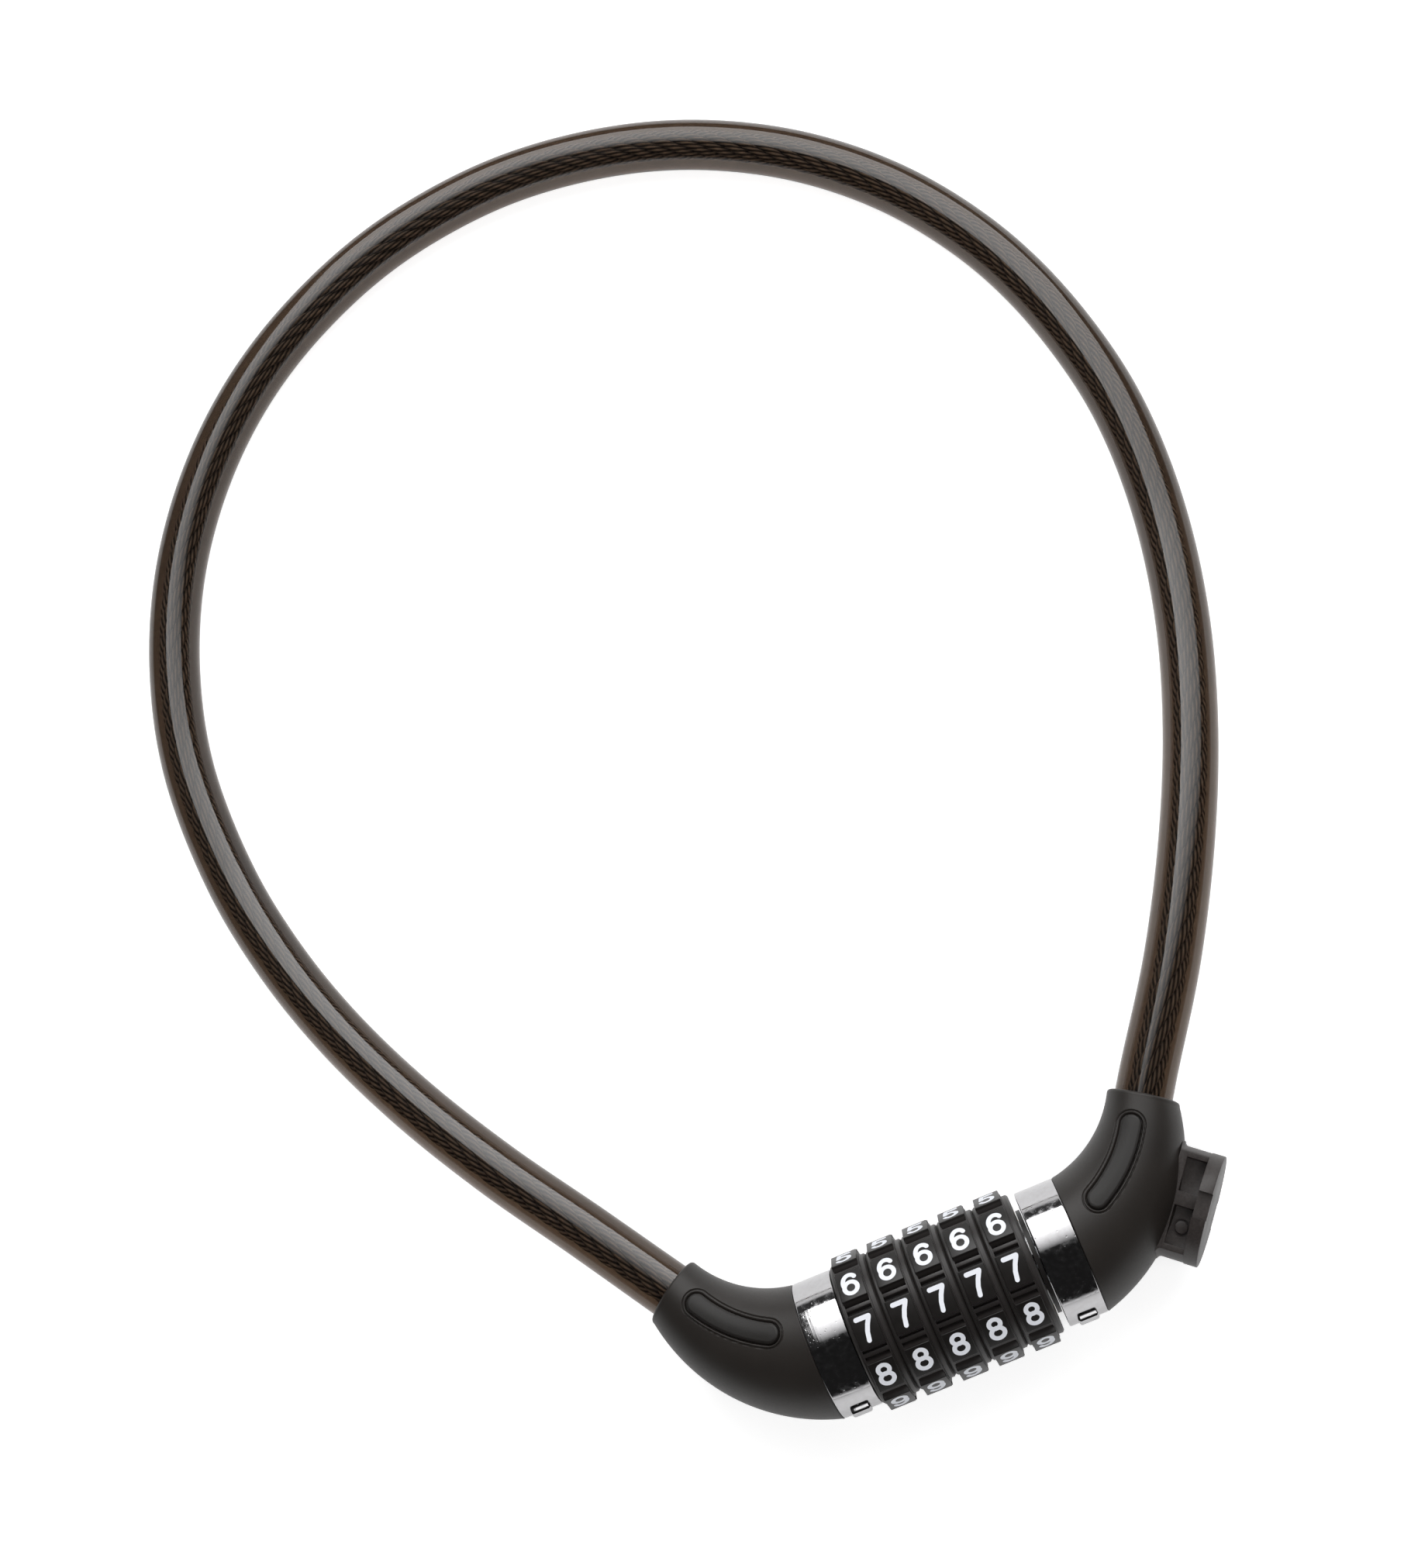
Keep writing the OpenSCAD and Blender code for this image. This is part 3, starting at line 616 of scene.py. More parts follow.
def arc_point(a, b, half_turn, t):
    """Part t of the arc from a to b that turns through twice half_turn, bulging to the right of a-b"""
    along = (b - a).normalized()
    across = Vector((along.y, -along.x, 0))
    half = math.radians(half_turn)
    r = (b - a).length / (2 * math.sin(half))
    turn = half * (2 * t - 1)
    return (a + b) / 2 + r * math.sin(turn) * along + r * (math.cos(turn) - math.cos(half)) * across


def inner_edge(t):
    return arc_point(Vector((0, COLLAR_R, 0)), MOUTH + MOUTH_D / 2 * MOUTH_ACROSS, INNER_HALF_TURN, t)


def outer_edge(t):
    return arc_point(Vector((0, -COLLAR_R, 0)), MOUTH - MOUTH_D / 2 * MOUTH_ACROSS, OUTER_HALF_TURN, t)


def elbow_station(t):
    """Centre, heading in degrees and radius of the elbow's round section at part t of its length"""
    a, b = inner_edge(t), outer_edge(t)
    edge = (a - b).normalized()
    return (a + b) / 2, math.degrees(math.atan2(-edge.x, edge.y)), (a - b).length / 2


def elbow_rings():
    """The cover's closed section: outside from the collar to the lip, then the bore and the inside back"""
    rings = []
    for i in range(COLLAR_EDGE_STEPS):
        a = math.pi / 2 * i / (COLLAR_EDGE_STEPS - 1)
        inset = COLLAR_EDGE * (1 - math.cos(a))
        rings.append((Vector((inset, 0, 0)), 0, COLLAR_R - COLLAR_EDGE * (1 - math.sin(a))))
    for j in range(1, ELBOW_RINGS + 1):
        rings.append(elbow_station(j / ELBOW_RINGS))
    centre, heading, radius = rings[-1]
    for i in range(1, LIP_STEPS + 1):
        a = math.pi / 2 * i / LIP_STEPS
        rings.append((
            centre + LIP_ROUND * math.sin(a) * CABLE_DIR, heading, radius - LIP_ROUND * (1 - math.cos(a)),
        ))
    lip = centre + LIP_ROUND * CABLE_DIR
    rings.append((lip, heading, BORE_R + BORE_EDGE))
    rings.append((lip - BORE_EDGE * CABLE_DIR, heading, BORE_R))
    rings.append((lip - BORE_L * CABLE_DIR, heading, BORE_R))
    for t in INSIDE_STATIONS:
        middle, turned, size = elbow_station(t)
        rings.append((middle, turned, size - COVER_WALL))
    rings.append((Vector((0, 0, 0)), 0, COLLAR_R - COVER_WALL))
    return rings + rings[:1]


# Pads: their middle line and outline in the elbow's own plane
PAD_SIDE, PAD_FROM, PAD_TO, PAD_HALF_TURN, PAD_BEND_R = 0.38, 0.12, 0.92, 16, 26
PAD_GROOVE_L, PAD_GROOVE_W = 19, 5
PAD_REACH, PAD_NEAR = 2.05, 2.9
PAD_MIN_Z = 2
PAD_CUTS, PAD_SHEET_T = 3, 0.3


def pad_distance(x, y):
    """Distance in mm from the pad's middle line, a short arc, in the elbow's own plane"""
    start = PAD_SIDE * outer_edge(PAD_FROM) + (1 - PAD_SIDE) * inner_edge(PAD_FROM)
    end = PAD_SIDE * outer_edge(PAD_TO) + (1 - PAD_SIDE) * inner_edge(PAD_TO)
    middle = arc_point(start, end, PAD_HALF_TURN, 0.5)
    facing = math.atan2(end.y - start.y, end.x - start.x)
    hub = middle + PAD_BEND_R * Vector((-math.sin(facing), math.cos(facing), 0))
    half = (PAD_GROOVE_L - PAD_GROOVE_W) / 2 / PAD_BEND_R
    dx, dy = x - hub.x, y - hub.y
    turn = math.atan2(dy, dx) - (facing - math.pi / 2)
    turn = (turn + math.pi) % (2 * math.pi) - math.pi
    if abs(turn) <= half:
        return abs(math.hypot(dx, dy) - PAD_BEND_R)
    tip = facing - math.pi / 2 + math.copysign(half, turn)
    return math.hypot(dx - PAD_BEND_R * math.cos(tip), dy - PAD_BEND_R * math.sin(tip))


def between(points, d):
    """Height at distance d on a line through (distance, height) points, eased between them"""
    for (d0, h0), (d1, h1) in zip(points, points[1:]):
        if d <= d1:
            t = min(max((d - d0) / (d1 - d0), 0), 1)
            return h0 + (h1 - h0) * t * t * (3 - 2 * t)
    return points[-1][1]


# Heights over the elbow against the distance from the pad's middle line: pocket, ridge and fine groove
COVER_RELIEF = [
    (0, -0.55), (1.96, -0.55), (2.08, -0.05), (2.16, 0.02), (2.3, 0.02), (2.42, -0.26), (2.52, -0.26),
    (2.66, 0.0),
]
PAD_RELIEF = [(0, 0.17), (1.3, 0.14), (1.62, 0.07), (1.8, -0.1), (1.9, -0.6), (2.3, -0.6)]


def carve(piece, side, relief):
    """Moves the outside vertices near a pad along their normals, by the relief at their distance from it"""
    moves = []
    for vertex in piece.data.vertices:
        x, y = side * (vertex.co.x / MM - elbow_place(side, 0, 0).x), vertex.co.y / MM
        high = vertex.co.z / MM - AXIS_Z
        if abs(high) > PAD_MIN_Z and vertex.normal.z * high > 0:
            moves.append((vertex, vertex.normal * between(relief, pad_distance(x, y)) * MM))
    for vertex, move in moves:
        vertex.co += move


def select_pad_faces(piece, side, reach, near=True):
    """Selects the outside faces up to reach mm from the pads' middle lines, or all the others"""
    take(piece)
    bpy.ops.object.mode_set(mode="EDIT")
    bpy.ops.mesh.select_all(action="DESELECT")
    bpy.ops.object.mode_set(mode="OBJECT")
    for face in piece.data.polygons:
        x, y, z = face.center / MM
        close = pad_distance(side * (x - elbow_place(side, 0, 0).x), y) < reach
        outside = abs(z - AXIS_Z) > PAD_MIN_Z and face.normal.z * (z - AXIS_Z) > 0
        face.select = (close and outside) == near
    bpy.ops.object.mode_set(mode="EDIT")
    bpy.ops.mesh.select_mode(type="FACE")


def make_elbow(side, name):
    """The moulded cover with its pockets, and the two pads in them"""
    rings = [(elbow_place(side, *c), h if side > 0 else 180 - h, r) for c, h, r in elbow_rings()]
    cover = ring_tube(name + "_shell", rings, ELBOW_SIDES)
    select_pad_faces(cover, side, PAD_NEAR)
    bpy.ops.mesh.subdivide(number_cuts=PAD_CUTS, smoothness=0)
    bpy.ops.object.mode_set(mode="OBJECT")
    pads = copied(cover, name + "_grips")
    select_pad_faces(pads, side, PAD_REACH, near=False)
    bpy.ops.mesh.delete(type="FACE")
    bpy.ops.object.mode_set(mode="OBJECT")
    carve(pads, side, PAD_RELIEF)
    modify(pads, "SOLIDIFY", thickness=PAD_SHEET_T * MM, offset=-1)
    carve(cover, side, COVER_RELIEF)
    return smooth(cover, 50), smooth(pads, 60)


left_cover, left_pads = make_elbow(-1, "left_elbow")
finish_piece(left_cover, "lock_body", "soft_touch_plastic", COVER, "left_elbow_cover")
finish_piece(left_pads, "lock_body", "grip_rubber", RUBBER, "left_grip_pads")
right_cover, right_pads = make_elbow(1, "right_elbow")
finish_piece(right_cover, "plug", "soft_touch_plastic", COVER, "right_elbow_cover")
finish_piece(right_pads, "plug", "grip_rubber", RUBBER, "right_grip_pads")

# ---------------------------------------------------------------- bracket lug
LUG_PLACE, LUG_FACING, LUG_SINK = 0.58, -39.5, 2.2
PLATE_D, PLATE_T, LUG_TILT, PLATE_ROOT, PLATE_SIDES = 19.4, 2, 6, 0.4, 128
NECK_L, NECK_W, NECK_H, NECK_SIDES, NECK_STEPS = 3.6, 19.2, 9, 96, 40
# A cutting box stands this far past what it cuts
NOTCH_W, NOTCH_D, NOTCH_PAST = 4.6, 1.4, 2
POCKET_START, POCKET_STOP, POCKET_DEPTH, POCKET_HALF_W, POCKET_TOOL_H = -0.8, 3.0, 1.9, 7.5, 3
POCKET_RIB_W, POCKET_RIB_SHIFT = 2.4, 0.4
BOSS_R, BOSS_H, BOSS_SHIFT, BOSS_RING_W, BOSS_RING_DEPTH = 1.1, 0.4, 0.2, 0.36, 0.35
LUG_EDGE = 0.16
FILLET_R = 0.7
# Rays that find the elbow's skin start this far outside the lug's root
LOOK_BACK = 20


def lug_place(x, y, z=0):
    """A point of the lug's own frame, +X out of its plate, in the lock's frame"""
    turn = math.radians(LUG_FACING)
    start = outer_edge(LUG_PLACE)
    across = start.x + x * math.cos(turn) - y * math.sin(turn)
    return elbow_place(1, across, start.y + x * math.sin(turn) + y * math.cos(turn), z)


def make_neck():
    """A short round neck with two flats, extruded outwards, which flares where it leaves the elbow"""
    deselect()
    outward = (lug_place(1, 0) - lug_place(0, 0)).normalized()
    bpy.ops.mesh.primitive_circle_add(
        vertices=NECK_SIDES, radius=NECK_W / 2 * MM, fill_type="NGON", location=lug_place(-LUG_SINK, 0) * MM,
        rotation=(0, math.pi / 2, math.radians(LUG_FACING)),
    )
    neck = named("bracket_lug")
    bpy.ops.object.mode_set(mode="EDIT")
    for s in (-1, 1):
        bpy.ops.mesh.select_all(action="SELECT")
        bpy.ops.mesh.bisect(
            plane_co=lug_place(0, 0, s * NECK_H / 2) * MM, plane_no=(0, 0, s), clear_outer=True, use_fill=False,
        )
    bpy.ops.mesh.select_all(action="SELECT")
    for _ in range(NECK_STEPS):
        bpy.ops.mesh.extrude_region_move(
            TRANSFORM_OT_translate={"value": outward * (NECK_L + LUG_SINK) / NECK_STEPS * MM}
        )
    bpy.ops.object.mode_set(mode="OBJECT")
    beside = (lug_place(0, 1) - lug_place(0, 0)).normalized()
    for vertex in neck.data.vertices:
        here = vertex.co / MM - lug_place(0, 0)
        far = (lug_place(0, 0) + here + LOOK_BACK * outward) * MM
        hit, place, _, _ = right_cover.ray_cast(far, -outward)
        over = (vertex.co - place).dot(outward) / MM if hit else FILLET_R
        reach = min(max(FILLET_R - over, 0), FILLET_R)
        flare = FILLET_R - math.sqrt(FILLET_R ** 2 - reach ** 2)
        vertex.co += math.copysign(flare, here.dot(beside)) * beside * MM
    clean(neck)
    # Rings on the straight part would hold the bevel back
    bpy.ops.object.mode_set(mode="EDIT")
    bpy.ops.mesh.select_all(action="SELECT")
    bpy.ops.mesh.dissolve_limited(angle_limit=math.radians(0.5))
    bpy.ops.object.mode_set(mode="OBJECT")
    return neck


def disc_at(name, place, radius, thickness, sides=48):
    """A disc primitive that lies flat, with its middle and size in mm"""
    deselect()
    bpy.ops.mesh.primitive_cylinder_add(
        vertices=sides, radius=radius * MM, depth=thickness * MM, location=place * MM,
    )
    return named(name)


def lug_bevel(piece):
    return modify(
        piece, "BEVEL", width=LUG_EDGE * MM, segments=2, limit_method="ANGLE", angle_limit=math.radians(40),
    )


def make_lug_plate():
    """A round plate, tipped a little and notched at top and bottom"""
    tilt = math.radians(LUG_TILT)
    half_plate = (PLATE_T - PLATE_ROOT) / 2
    deselect()
    bpy.ops.mesh.primitive_cylinder_add(
        vertices=PLATE_SIDES, radius=PLATE_D / 2 * MM, depth=(PLATE_T + PLATE_ROOT) * MM,
        location=lug_place(NECK_L + half_plate * math.cos(tilt), 0, half_plate * math.sin(tilt)) * MM,
        rotation=(0, math.pi / 2 - tilt, math.radians(LUG_FACING)),
    )
    plate = lug_bevel(named("plate"))
    reach = PLATE_D / 2 - NOTCH_D / 2 + NOTCH_PAST / 2
    for s in (-1, 1):
        cut(plate, box_at(
            "notch", lug_place(NECK_L + s * reach * math.sin(tilt), 0, -s * reach * math.cos(tilt)),
            (3 * PLATE_T, NOTCH_W, NOTCH_D + NOTCH_PAST), (0, -LUG_TILT, LUG_FACING),
        ))
    return plate


def make_lug():
    """A neck with two pockets on each side, one with a low round boss in a ring groove, and a round plate"""
    lug = make_neck()
    pocket_x = (POCKET_START + POCKET_STOP) / 2
    rib_top = POCKET_RIB_SHIFT + POCKET_RIB_W / 2
    rib_bottom = POCKET_RIB_SHIFT - POCKET_RIB_W / 2
    for s in (-1, 1):
        for low, high in ((rib_top, POCKET_HALF_W), (-POCKET_HALF_W, rib_bottom)):
            cut(lug, box_at(
                "pocket",
                lug_place(pocket_x, (low + high) / 2, s * (NECK_H / 2 - POCKET_DEPTH + POCKET_TOOL_H / 2)),
                (POCKET_STOP - POCKET_START, high - low, POCKET_TOOL_H), (0, 0, LUG_FACING),
            ))
    lug_bevel(lug)
    cut(lug, make_lug_plate(), "UNION")
    for s in (-1, 1):
        middle = lug_place(
            pocket_x + BOSS_SHIFT, (rib_bottom - POCKET_HALF_W) / 2, s * (NECK_H / 2 - POCKET_DEPTH),
        )
        cut(lug, disc_at("ring_groove", middle, BOSS_R + BOSS_RING_W, 2 * BOSS_RING_DEPTH))
        cut(lug, lug_bevel(disc_at("boss", middle, BOSS_R, 2 * BOSS_H)), "UNION")
    return smooth(clean(lug), 35)


lug = make_lug()
finish_piece(lug, "plug", "soft_touch_plastic", LUG_ABS)

# ---------------------------------------------------------------- chrome collars
HUB_R = 9
COLLAR_ROUND = 0.3
INDEX_L, INDEX_W, INDEX_H, INDEX_ANGLE = 3.6, 2.4, 0.9, 72
INDEX_SINK, INDEX_ROUND = 1, 0.45


def make_collar(name, x, end):
    """A plated ring with rolled edges and one raised index tab"""
    profile = (
        [(x, HUB_R)] + rounded_end(x, COLLAR_R, COLLAR_ROUND, -1)[::-1]
        + rounded_end(end, COLLAR_R, COLLAR_ROUND, 1) + [(end, HUB_R)]
    )
    ring = turned_ring(name, profile)
    angle = math.radians(INDEX_ANGLE)
    reach = COLLAR_R + (INDEX_H - INDEX_SINK) / 2
    tab = box_at(
        "tab", ((x + end) / 2, -reach * math.sin(angle), AXIS_Z + reach * math.cos(angle)),
        (INDEX_L, INDEX_W, INDEX_H + INDEX_SINK), (INDEX_ANGLE, 0, 0),
    )
    modify(tab, "BEVEL", width=INDEX_ROUND * MM, segments=5, limit_method="ANGLE")
    return smooth(joined([ring, tab], name), 40)


left_collar = make_collar("left_collar_shell", LEFT_COLLAR_X, LEFT_COLLAR_END)
finish_piece(left_collar, "lock_body", "chrome_plate", CHROME, "left_collar")
right_collar = make_collar("right_collar_shell", RIGHT_COLLAR_X, RIGHT_END_X)
finish_piece(right_collar, "plug", "chrome_plate", CHROME, "right_collar")

# ---------------------------------------------------------------- number wheels
WHEEL_FLAT_R = 13.4
BODY_R = 12.4
RING_R = 9.8
RIB_R, RIB_W, RIM_W = 12.9, 0.7, 0.26
TRENCH_R = 11.7
TILE_L, TILE_W, TILE_MARGIN, TILE_SHIFT = 5.9, 4.6, 0.6, -0.12
TILE_TOP_R = 13.38
WHEEL_BEVEL, RIM_SLOPE = 0.3, 0.04
TILE_SINK, TILE_ROUND, RIB_ROUND = 0.8, 0.14, 0.12
DIGITS = 10
DIGIT_STEP = 360 / DIGITS
TOP_DIGIT = 7


def spun_copies(piece):
    """Repeats a piece that sits on top of a wheel ten times round the barrel's axis"""
    take(piece)
    bpy.ops.object.mode_set(mode="EDIT")
    bpy.ops.mesh.select_all(action="SELECT")
    bpy.ops.mesh.spin(
        steps=DIGITS - 1, dupli=True, angle=math.radians(DIGIT_STEP * (DIGITS - 1)),
        center=(0, 0, AXIS_Z * MM), axis=(1, 0, 0),
    )
    bpy.ops.object.mode_set(mode="OBJECT")
    return piece


def turned_by(piece, degrees):
    """Turns a piece's mesh round the barrel's axis"""
    piece.data.transform(
        Matrix.Translation((0, 0, AXIS_Z * MM)) @ Matrix.Rotation(math.radians(degrees), 4, "X")
        @ Matrix.Translation((0, 0, -AXIS_Z * MM))
    )


def make_wheel(x):
    """A round body with ten flat tiles between two fine rims, and a rib in the trench between tiles"""
    left, right = TILE_MARGIN, TILE_MARGIN + TILE_W
    profile = [
        (0, RING_R), (0, BODY_R - WHEEL_BEVEL), (WHEEL_BEVEL, BODY_R), (left, BODY_R),
        (left + RIM_SLOPE, RIB_R), (left + RIM_W, RIB_R), (left + RIM_W + RIM_SLOPE, TRENCH_R),
        (right, TRENCH_R), (right + RIM_SLOPE, RIB_R), (right + RIM_W, RIB_R),
        (right + RIM_W + RIM_SLOPE, BODY_R), (WHEEL_W - WHEEL_BEVEL, BODY_R),
        (WHEEL_W, BODY_R - WHEEL_BEVEL), (WHEEL_W, RING_R),
    ]
    body = turned_ring("wheel_body", [(x + a, r) for a, r in profile])
    tile_x = x + TILE_MARGIN + RIM_W / 2 + TILE_W / 2
    low = TRENCH_R - TILE_SINK
    tile = box_at(
        "tile", (tile_x, TILE_SHIFT, AXIS_Z + (low + TILE_TOP_R) / 2), (TILE_W, TILE_L, TILE_TOP_R - low),
    )
    modify(tile, "BEVEL", width=TILE_ROUND * MM, segments=3, limit_method="ANGLE")
    rib = box_at("rib", (tile_x, 0, AXIS_Z + (low + RIB_R) / 2), (TILE_W, RIB_W, RIB_R - low))
    modify(rib, "BEVEL", width=RIB_ROUND * MM, segments=2, limit_method="ANGLE")
    turned_by(rib, DIGIT_STEP / 2)
    return smooth(joined([body, spun_copies(tile), spun_copies(rib)], "number_wheel_skin_1"), 35)


# Digits: a stroke is a list of points in mm round the middle of its tile, +y towards the cable loop
STROKE = 0.8
DIGIT_HALF_W, DIGIT_HALF_H = 1.14, 1.9
INK_H = 0.03
# Strokes that cross are printed one over the other; the third and last layer lies at the ink's full height
OVERLAP_STEP, LAST_LAYER = 0.003, 2


def bow(x, y, rx, ry, start, end, steps=20):
    """Points on an ellipse's arc, from start to end degrees"""
    return [
        (x + rx * math.cos(math.radians(a)), y + ry * math.sin(math.radians(a)))
        for a in [start + (end - start) * i / steps for i in range(steps + 1)]
    ]


W, H = DIGIT_HALF_W, DIGIT_HALF_H
SIX = [
    (bow(0, -0.72, W, 1.18, 0, 360, 40), True),
    (bow(0.12, 0.35, W + 0.12, 1.55, 200, 90, 16) + bow(0.12, 0.95, W - 0.12, 0.95, 85, 22, 10), False),
]
STROKES = {
    0: [(bow(0, 0, W, H, 0, 360, 40), True)],
    1: [([(-0.65, 1.15), (0.2, H)], False), ([(0.2, H), (0.2, -H)], False)],
    2: [
        (bow(0, 0.85, W, 1.05, 165, -20, 16) + [(0.5, -0.35), (-W, -H)], False),
        ([(-W, -H), (W, -H)], False),
    ],
    3: [
        (bow(-0.05, 0.95, W - 0.1, 0.95, 150, -90, 18), False),
        (bow(-0.05, -0.9, W, 1.0, 90, -150, 18), False),
    ],
    4: [
        ([(0.5, -H), (0.5, H)], False), ([(0.5, H), (-W, -0.75)], False),
        ([(-W, -0.75), (W + 0.1, -0.75)], False),
    ],
    5: [
        ([(W - 0.1, H), (-0.75, H)], False), ([(-0.75, H), (-0.95, 0.15)], False),
        (bow(-0.05, -0.68, W, 1.2, 136, -150, 18), False),
    ],
    6: SIX,
    7: [
        ([(-W, H), (W, H)], False),
        ([(W, H), (W - 0.05, H - 0.15), (0.45, 0.6), (0.02, -0.5), (-0.22, -H)], False),
    ],
    8: [(bow(0, 0.97, W - 0.17, 0.93, 0, 360, 36), True), (bow(0, -0.87, W, 1.03, 0, 360, 36), True)],
    9: [([(-x, -y) for x, y in points], closed) for points, closed in SIX],
}


def stroke_outlines(points, closed):
    """The outline of a stroke: one loop with round ends, or two loops for a closed stroke"""
    half = STROKE / 2
    if closed:
        points = points[:-1]
    count = len(points)
    left, right = [], []
    for i, (x, y) in enumerate(points):
        back = points[i - 1] if closed or i else points[0]
        ahead = points[(i + 1) % count] if closed or i < count - 1 else points[-1]
        dx, dy = ahead[0] - back[0], ahead[1] - back[1]
        length = math.hypot(dx, dy)
        nx, ny = -dy / length * half, dx / length * half
        left.append((x + nx, y + ny))
        right.append((x - nx, y - ny))
    if closed:
        return [left, right]
    caps = []
    for end, back in ((points[-1], points[-2]), (points[0], points[1])):
        facing = math.degrees(math.atan2(end[1] - back[1], end[0] - back[0]))
        caps.append(bow(end[0], end[1], half, half, facing + 90, facing - 90, 10)[1:-1])
    return [left + caps[0] + right[::-1] + caps[1]]


def make_digit(digit, x, angle):
    """One printed digit on its tile, angle degrees round the wheel from the top"""
    strokes = []
    for layer, (points, closed) in enumerate(STROKES[digit]):
        curve = bpy.data.curves.new("stroke", "CURVE")
        curve.dimensions = "2D"
        curve.fill_mode = "BOTH"
        curve.extrude = INK_H / 2 * MM
        for outline in stroke_outlines(points, closed):
            spline = curve.splines.new("POLY")
            spline.points.add(len(outline) - 1)
            for point, (px, py) in zip(spline.points, outline):
                point.co = (px * MM, py * MM, 0, 1)
            spline.use_cyclic_u = True
        stroke = bpy.data.objects.new("stroke", curve)
        bpy.context.collection.objects.link(stroke)
        stroke.location.z = (layer - LAST_LAYER) * OVERLAP_STEP * MM
        strokes.append(stroke)
    deselect()
    for stroke in strokes:
        stroke.select_set(True)
    bpy.context.view_layer.objects.active = strokes[0]
    bpy.ops.object.convert(target="MESH")
    bpy.ops.object.transform_apply(location=True, rotation=True, scale=True)
    piece = joined(strokes, f"digit_{digit}")
    piece.data.transform(Matrix.Translation((x * MM, 0, (AXIS_Z + WHEEL_FLAT_R - INK_H / 2) * MM)))
    turned_by(piece, angle)
    return piece


def make_digits(x):
    """Ten digits round a wheel; they count up towards the outside of the cable loop"""
    middle = x + TILE_MARGIN + RIM_W / 2 + TILE_W / 2
    ring = [make_digit((TOP_DIGIT + k) % DIGITS, middle, DIGIT_STEP * k) for k in range(DIGITS)]
    return joined(ring, "wheel_digits_1")


first_wheel = make_wheel(WHEEL_X[0])
first_digits = make_digits(WHEEL_X[0])
wheels, digit_rings = [first_wheel], [first_digits]
for i in range(1, 5):
    shift = ((WHEEL_X[i] - WHEEL_X[0]) * MM, 0, 0)
    wheels.append(copied(first_wheel, f"number_wheel_skin_{i + 1}", shift))
    digit_rings.append(copied(first_digits, f"wheel_digits_{i + 1}", shift))
for i in range(5):
    finish_piece(wheels[i], f"dial_{i + 1}", "black_plastic", ABS, f"number_wheel_{i + 1}")
    finish_piece(digit_rings[i], f"dial_{i + 1}", "black_plastic", INK)

# ---------------------------------------------------------------- inside parts keep their CAD shape
INSIDE = {
    "left_elbow_core": ZINC, "right_elbow_core": ZINC, "core_tube": STEEL, "tube_pin": STEEL,
    "bolt": STEEL, "bolt_pin": STEEL, "left_ferrule": ZINC, "right_ferrule": ZINC,
    "left_ferrule_pin": STEEL, "right_ferrule_pin": STEEL, "retaining_ring": ABS,
    "detent_balls": STEEL, "detent_springs": STEEL,
    **{f"code_ring_{i}": BRASS for i in range(1, 6)},
}
for node, material in INSIDE.items():
    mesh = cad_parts[node].data
    mesh.materials.clear()
    mesh.materials.append(material)

# ---------------------------------------------------------------- floor, light and background
FLOOR_SIZE, FLOOR_DROP = 6, 0.05
# The floor's own glow: for the camera, and for mirrors and clear things
FLOOR_GLOW_SEEN, FLOOR_GLOW_MIRRORED = 0.52, 0.2
AMBIENT = 0.25
CEILING_NEAR, CEILING_FAR = 0.015, 0.05
HORIZON_LOW, HORIZON_HIGH = 0.02, 0.1


def white_seen(tree):
    """1 for rays that see the white background: from the camera, from mirrors and through clear things"""
    path = add(tree, "ShaderNodeLightPath")
    bounced = worked_out(
        tree, "MAXIMUM", path.outputs["Is Glossy Ray"], path.outputs["Is Transmission Ray"],
    )
    from_camera = path.outputs["Is Camera Ray"]
    return worked_out(tree, "MAXIMUM", from_camera, bounced), from_camera, bounced


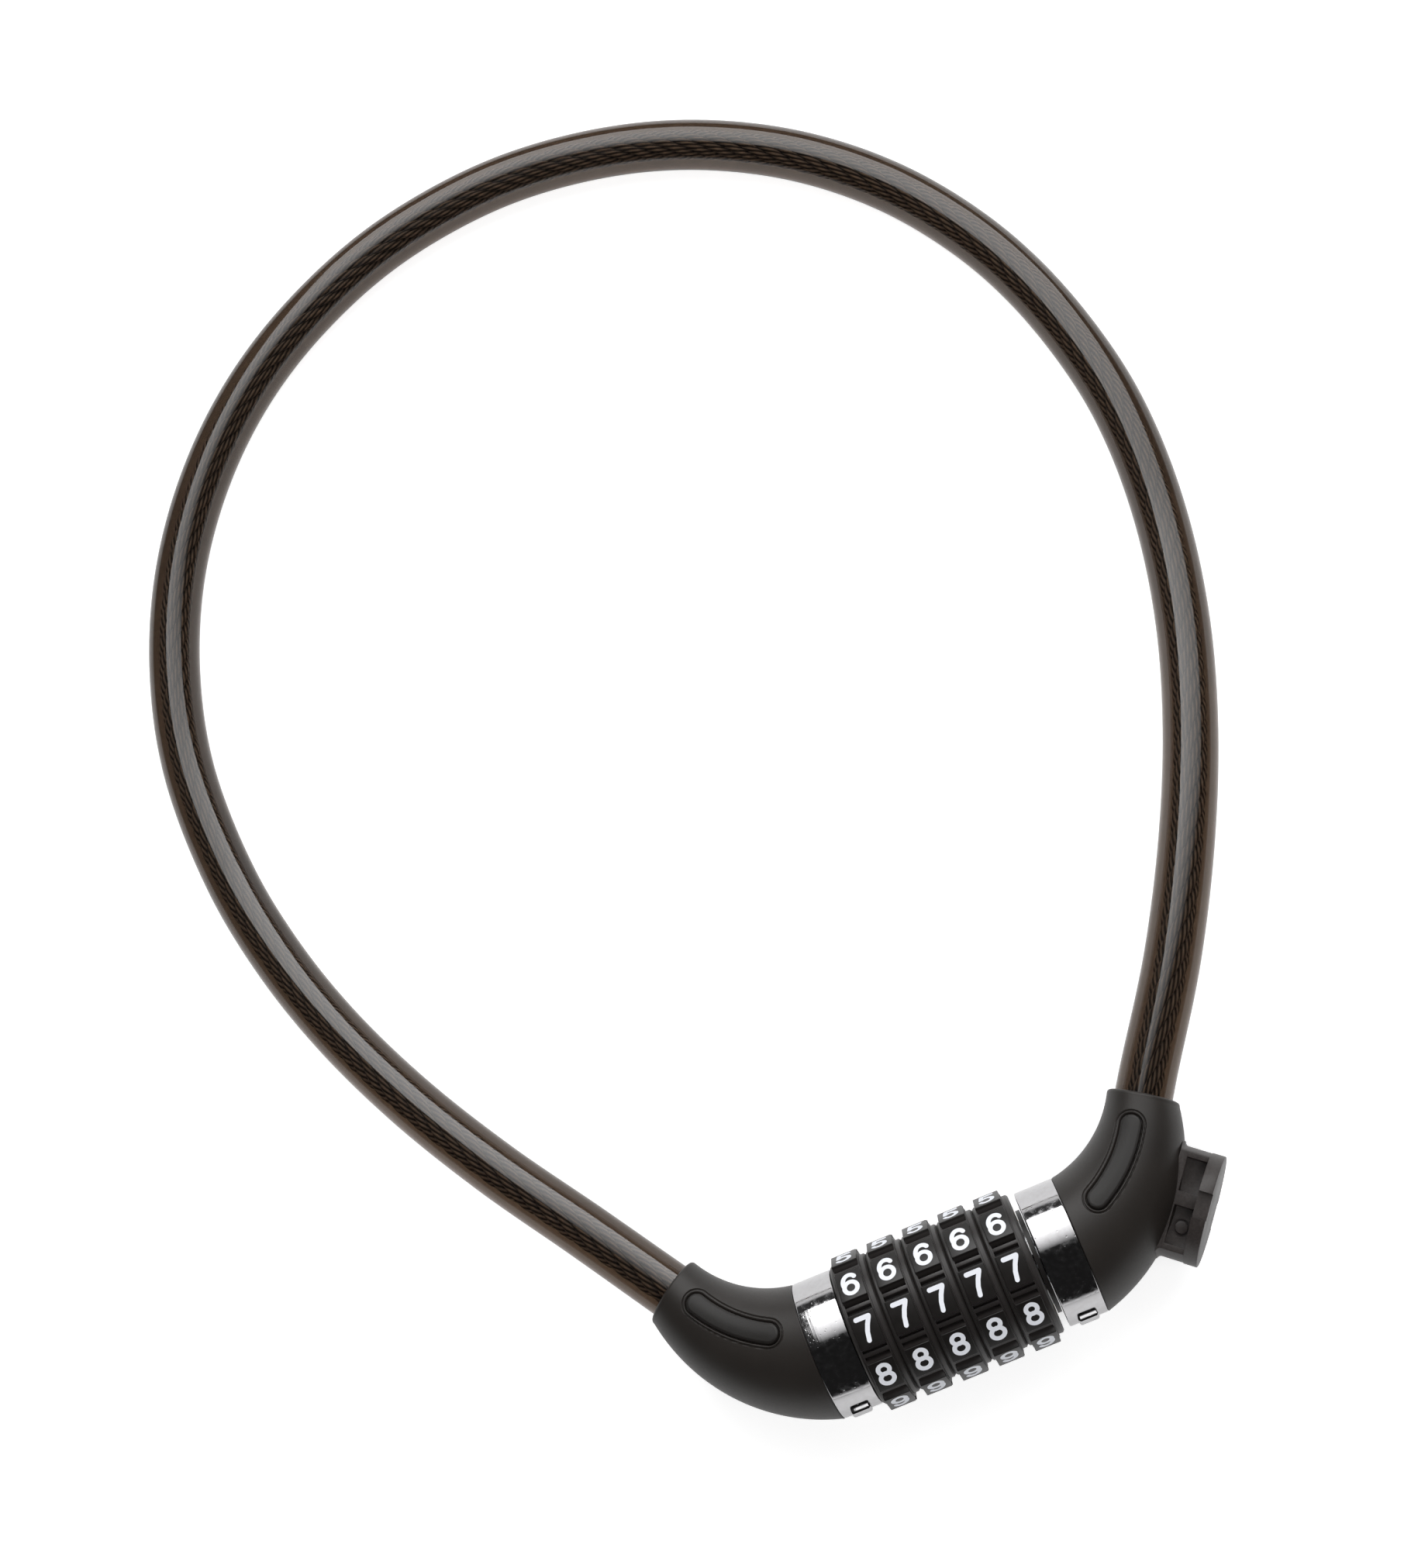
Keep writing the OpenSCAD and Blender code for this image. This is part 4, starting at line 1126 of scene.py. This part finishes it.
def make_floor():
    deselect()
    bpy.ops.mesh.primitive_plane_add(size=FLOOR_SIZE, location=(0, 0, -FLOOR_DROP * MM))
    floor = named("studio_floor")
    material, tree, shader = new_material("white_paper_sweep", Roughness=0.9)
    seen, from_camera, _ = white_seen(tree)
    glow = mixed(tree, from_camera, FLOOR_GLOW_MIRRORED, FLOOR_GLOW_SEEN)
    shader.inputs["Base Color"].default_value = srgb("#ececec")
    shader.inputs["Emission Color"].default_value = srgb("#ffffff")
    shader.inputs["Specular IOR Level"].default_value = 0
    tree.links.new(worked_out(tree, "MULTIPLY", seen, glow), shader.inputs["Emission Strength"])
    floor.data.materials.append(material)


def make_world():
    """White where it is seen, plain grey as a light, and a dark ceiling in mirrors"""
    world = bpy.data.worlds.new("studio")
    bpy.context.scene.world = world
    world.use_nodes = True
    tree = world.node_tree
    background = tree.nodes["Background"]
    seen, _, bounced = white_seen(tree)
    place = add(tree, "ShaderNodeTexCoord")
    parts = add(tree, "ShaderNodeSeparateXYZ", {"Vector": place.outputs["Generated"]})
    # The ceiling is black in front of the lock and dark grey behind the cable loop
    far_side = ranged(tree, parts.outputs["Y"], CEILING_NEAR, CEILING_FAR, 0.0, 0.5)
    ceiling = ranged(tree, parts.outputs["Z"], 1.0, far_side, HORIZON_LOW, HORIZON_HIGH)
    level = mixed(tree, seen, AMBIENT, mixed(tree, bounced, 1.0, ceiling))
    tree.links.new(level, background.inputs["Strength"])
    background.inputs["Color"].default_value = srgb("#ffffff")


# A lamp's strength at its near and far edge, against its mean
LAMP_FADE = 0.05, 1.95


def soft_box(name, place, tip, width, height, power, mirrored=True):
    """A large soft lamp, level along X and tipped round it in degrees, that fades towards its near edge.
    A mirrored one shows in the chrome."""
    light = bpy.data.lights.new(name, "AREA")
    light.shape = "RECTANGLE"
    light.size, light.size_y = width, height
    light.energy = power
    light.use_nodes = True
    tree = light.node_tree
    spot = add(tree, "ShaderNodeNewGeometry")
    parts = add(tree, "ShaderNodeSeparateXYZ", {"Vector": spot.outputs["Parametric"]})
    fade = ranged(tree, parts.outputs["Y"], *LAMP_FADE)
    tree.links.new(fade, tree.nodes["Emission"].inputs["Strength"])
    lamp = bpy.data.objects.new(name, light)
    lamp.location = place
    lamp.rotation_euler = (math.radians(tip), 0, 0)
    lamp.visible_glossy = mirrored
    bpy.context.collection.objects.link(lamp)


make_floor()
make_world()
soft_box("key_box", (0.33, 0.42, 0.52), -40, 1.0, 0.75, 5.4)
soft_box("front_fill", (0.02, -0.25, 0.85), 23, 0.6, 0.4, 3, mirrored=False)

bpy.context.scene.view_settings.view_transform = "Standard"
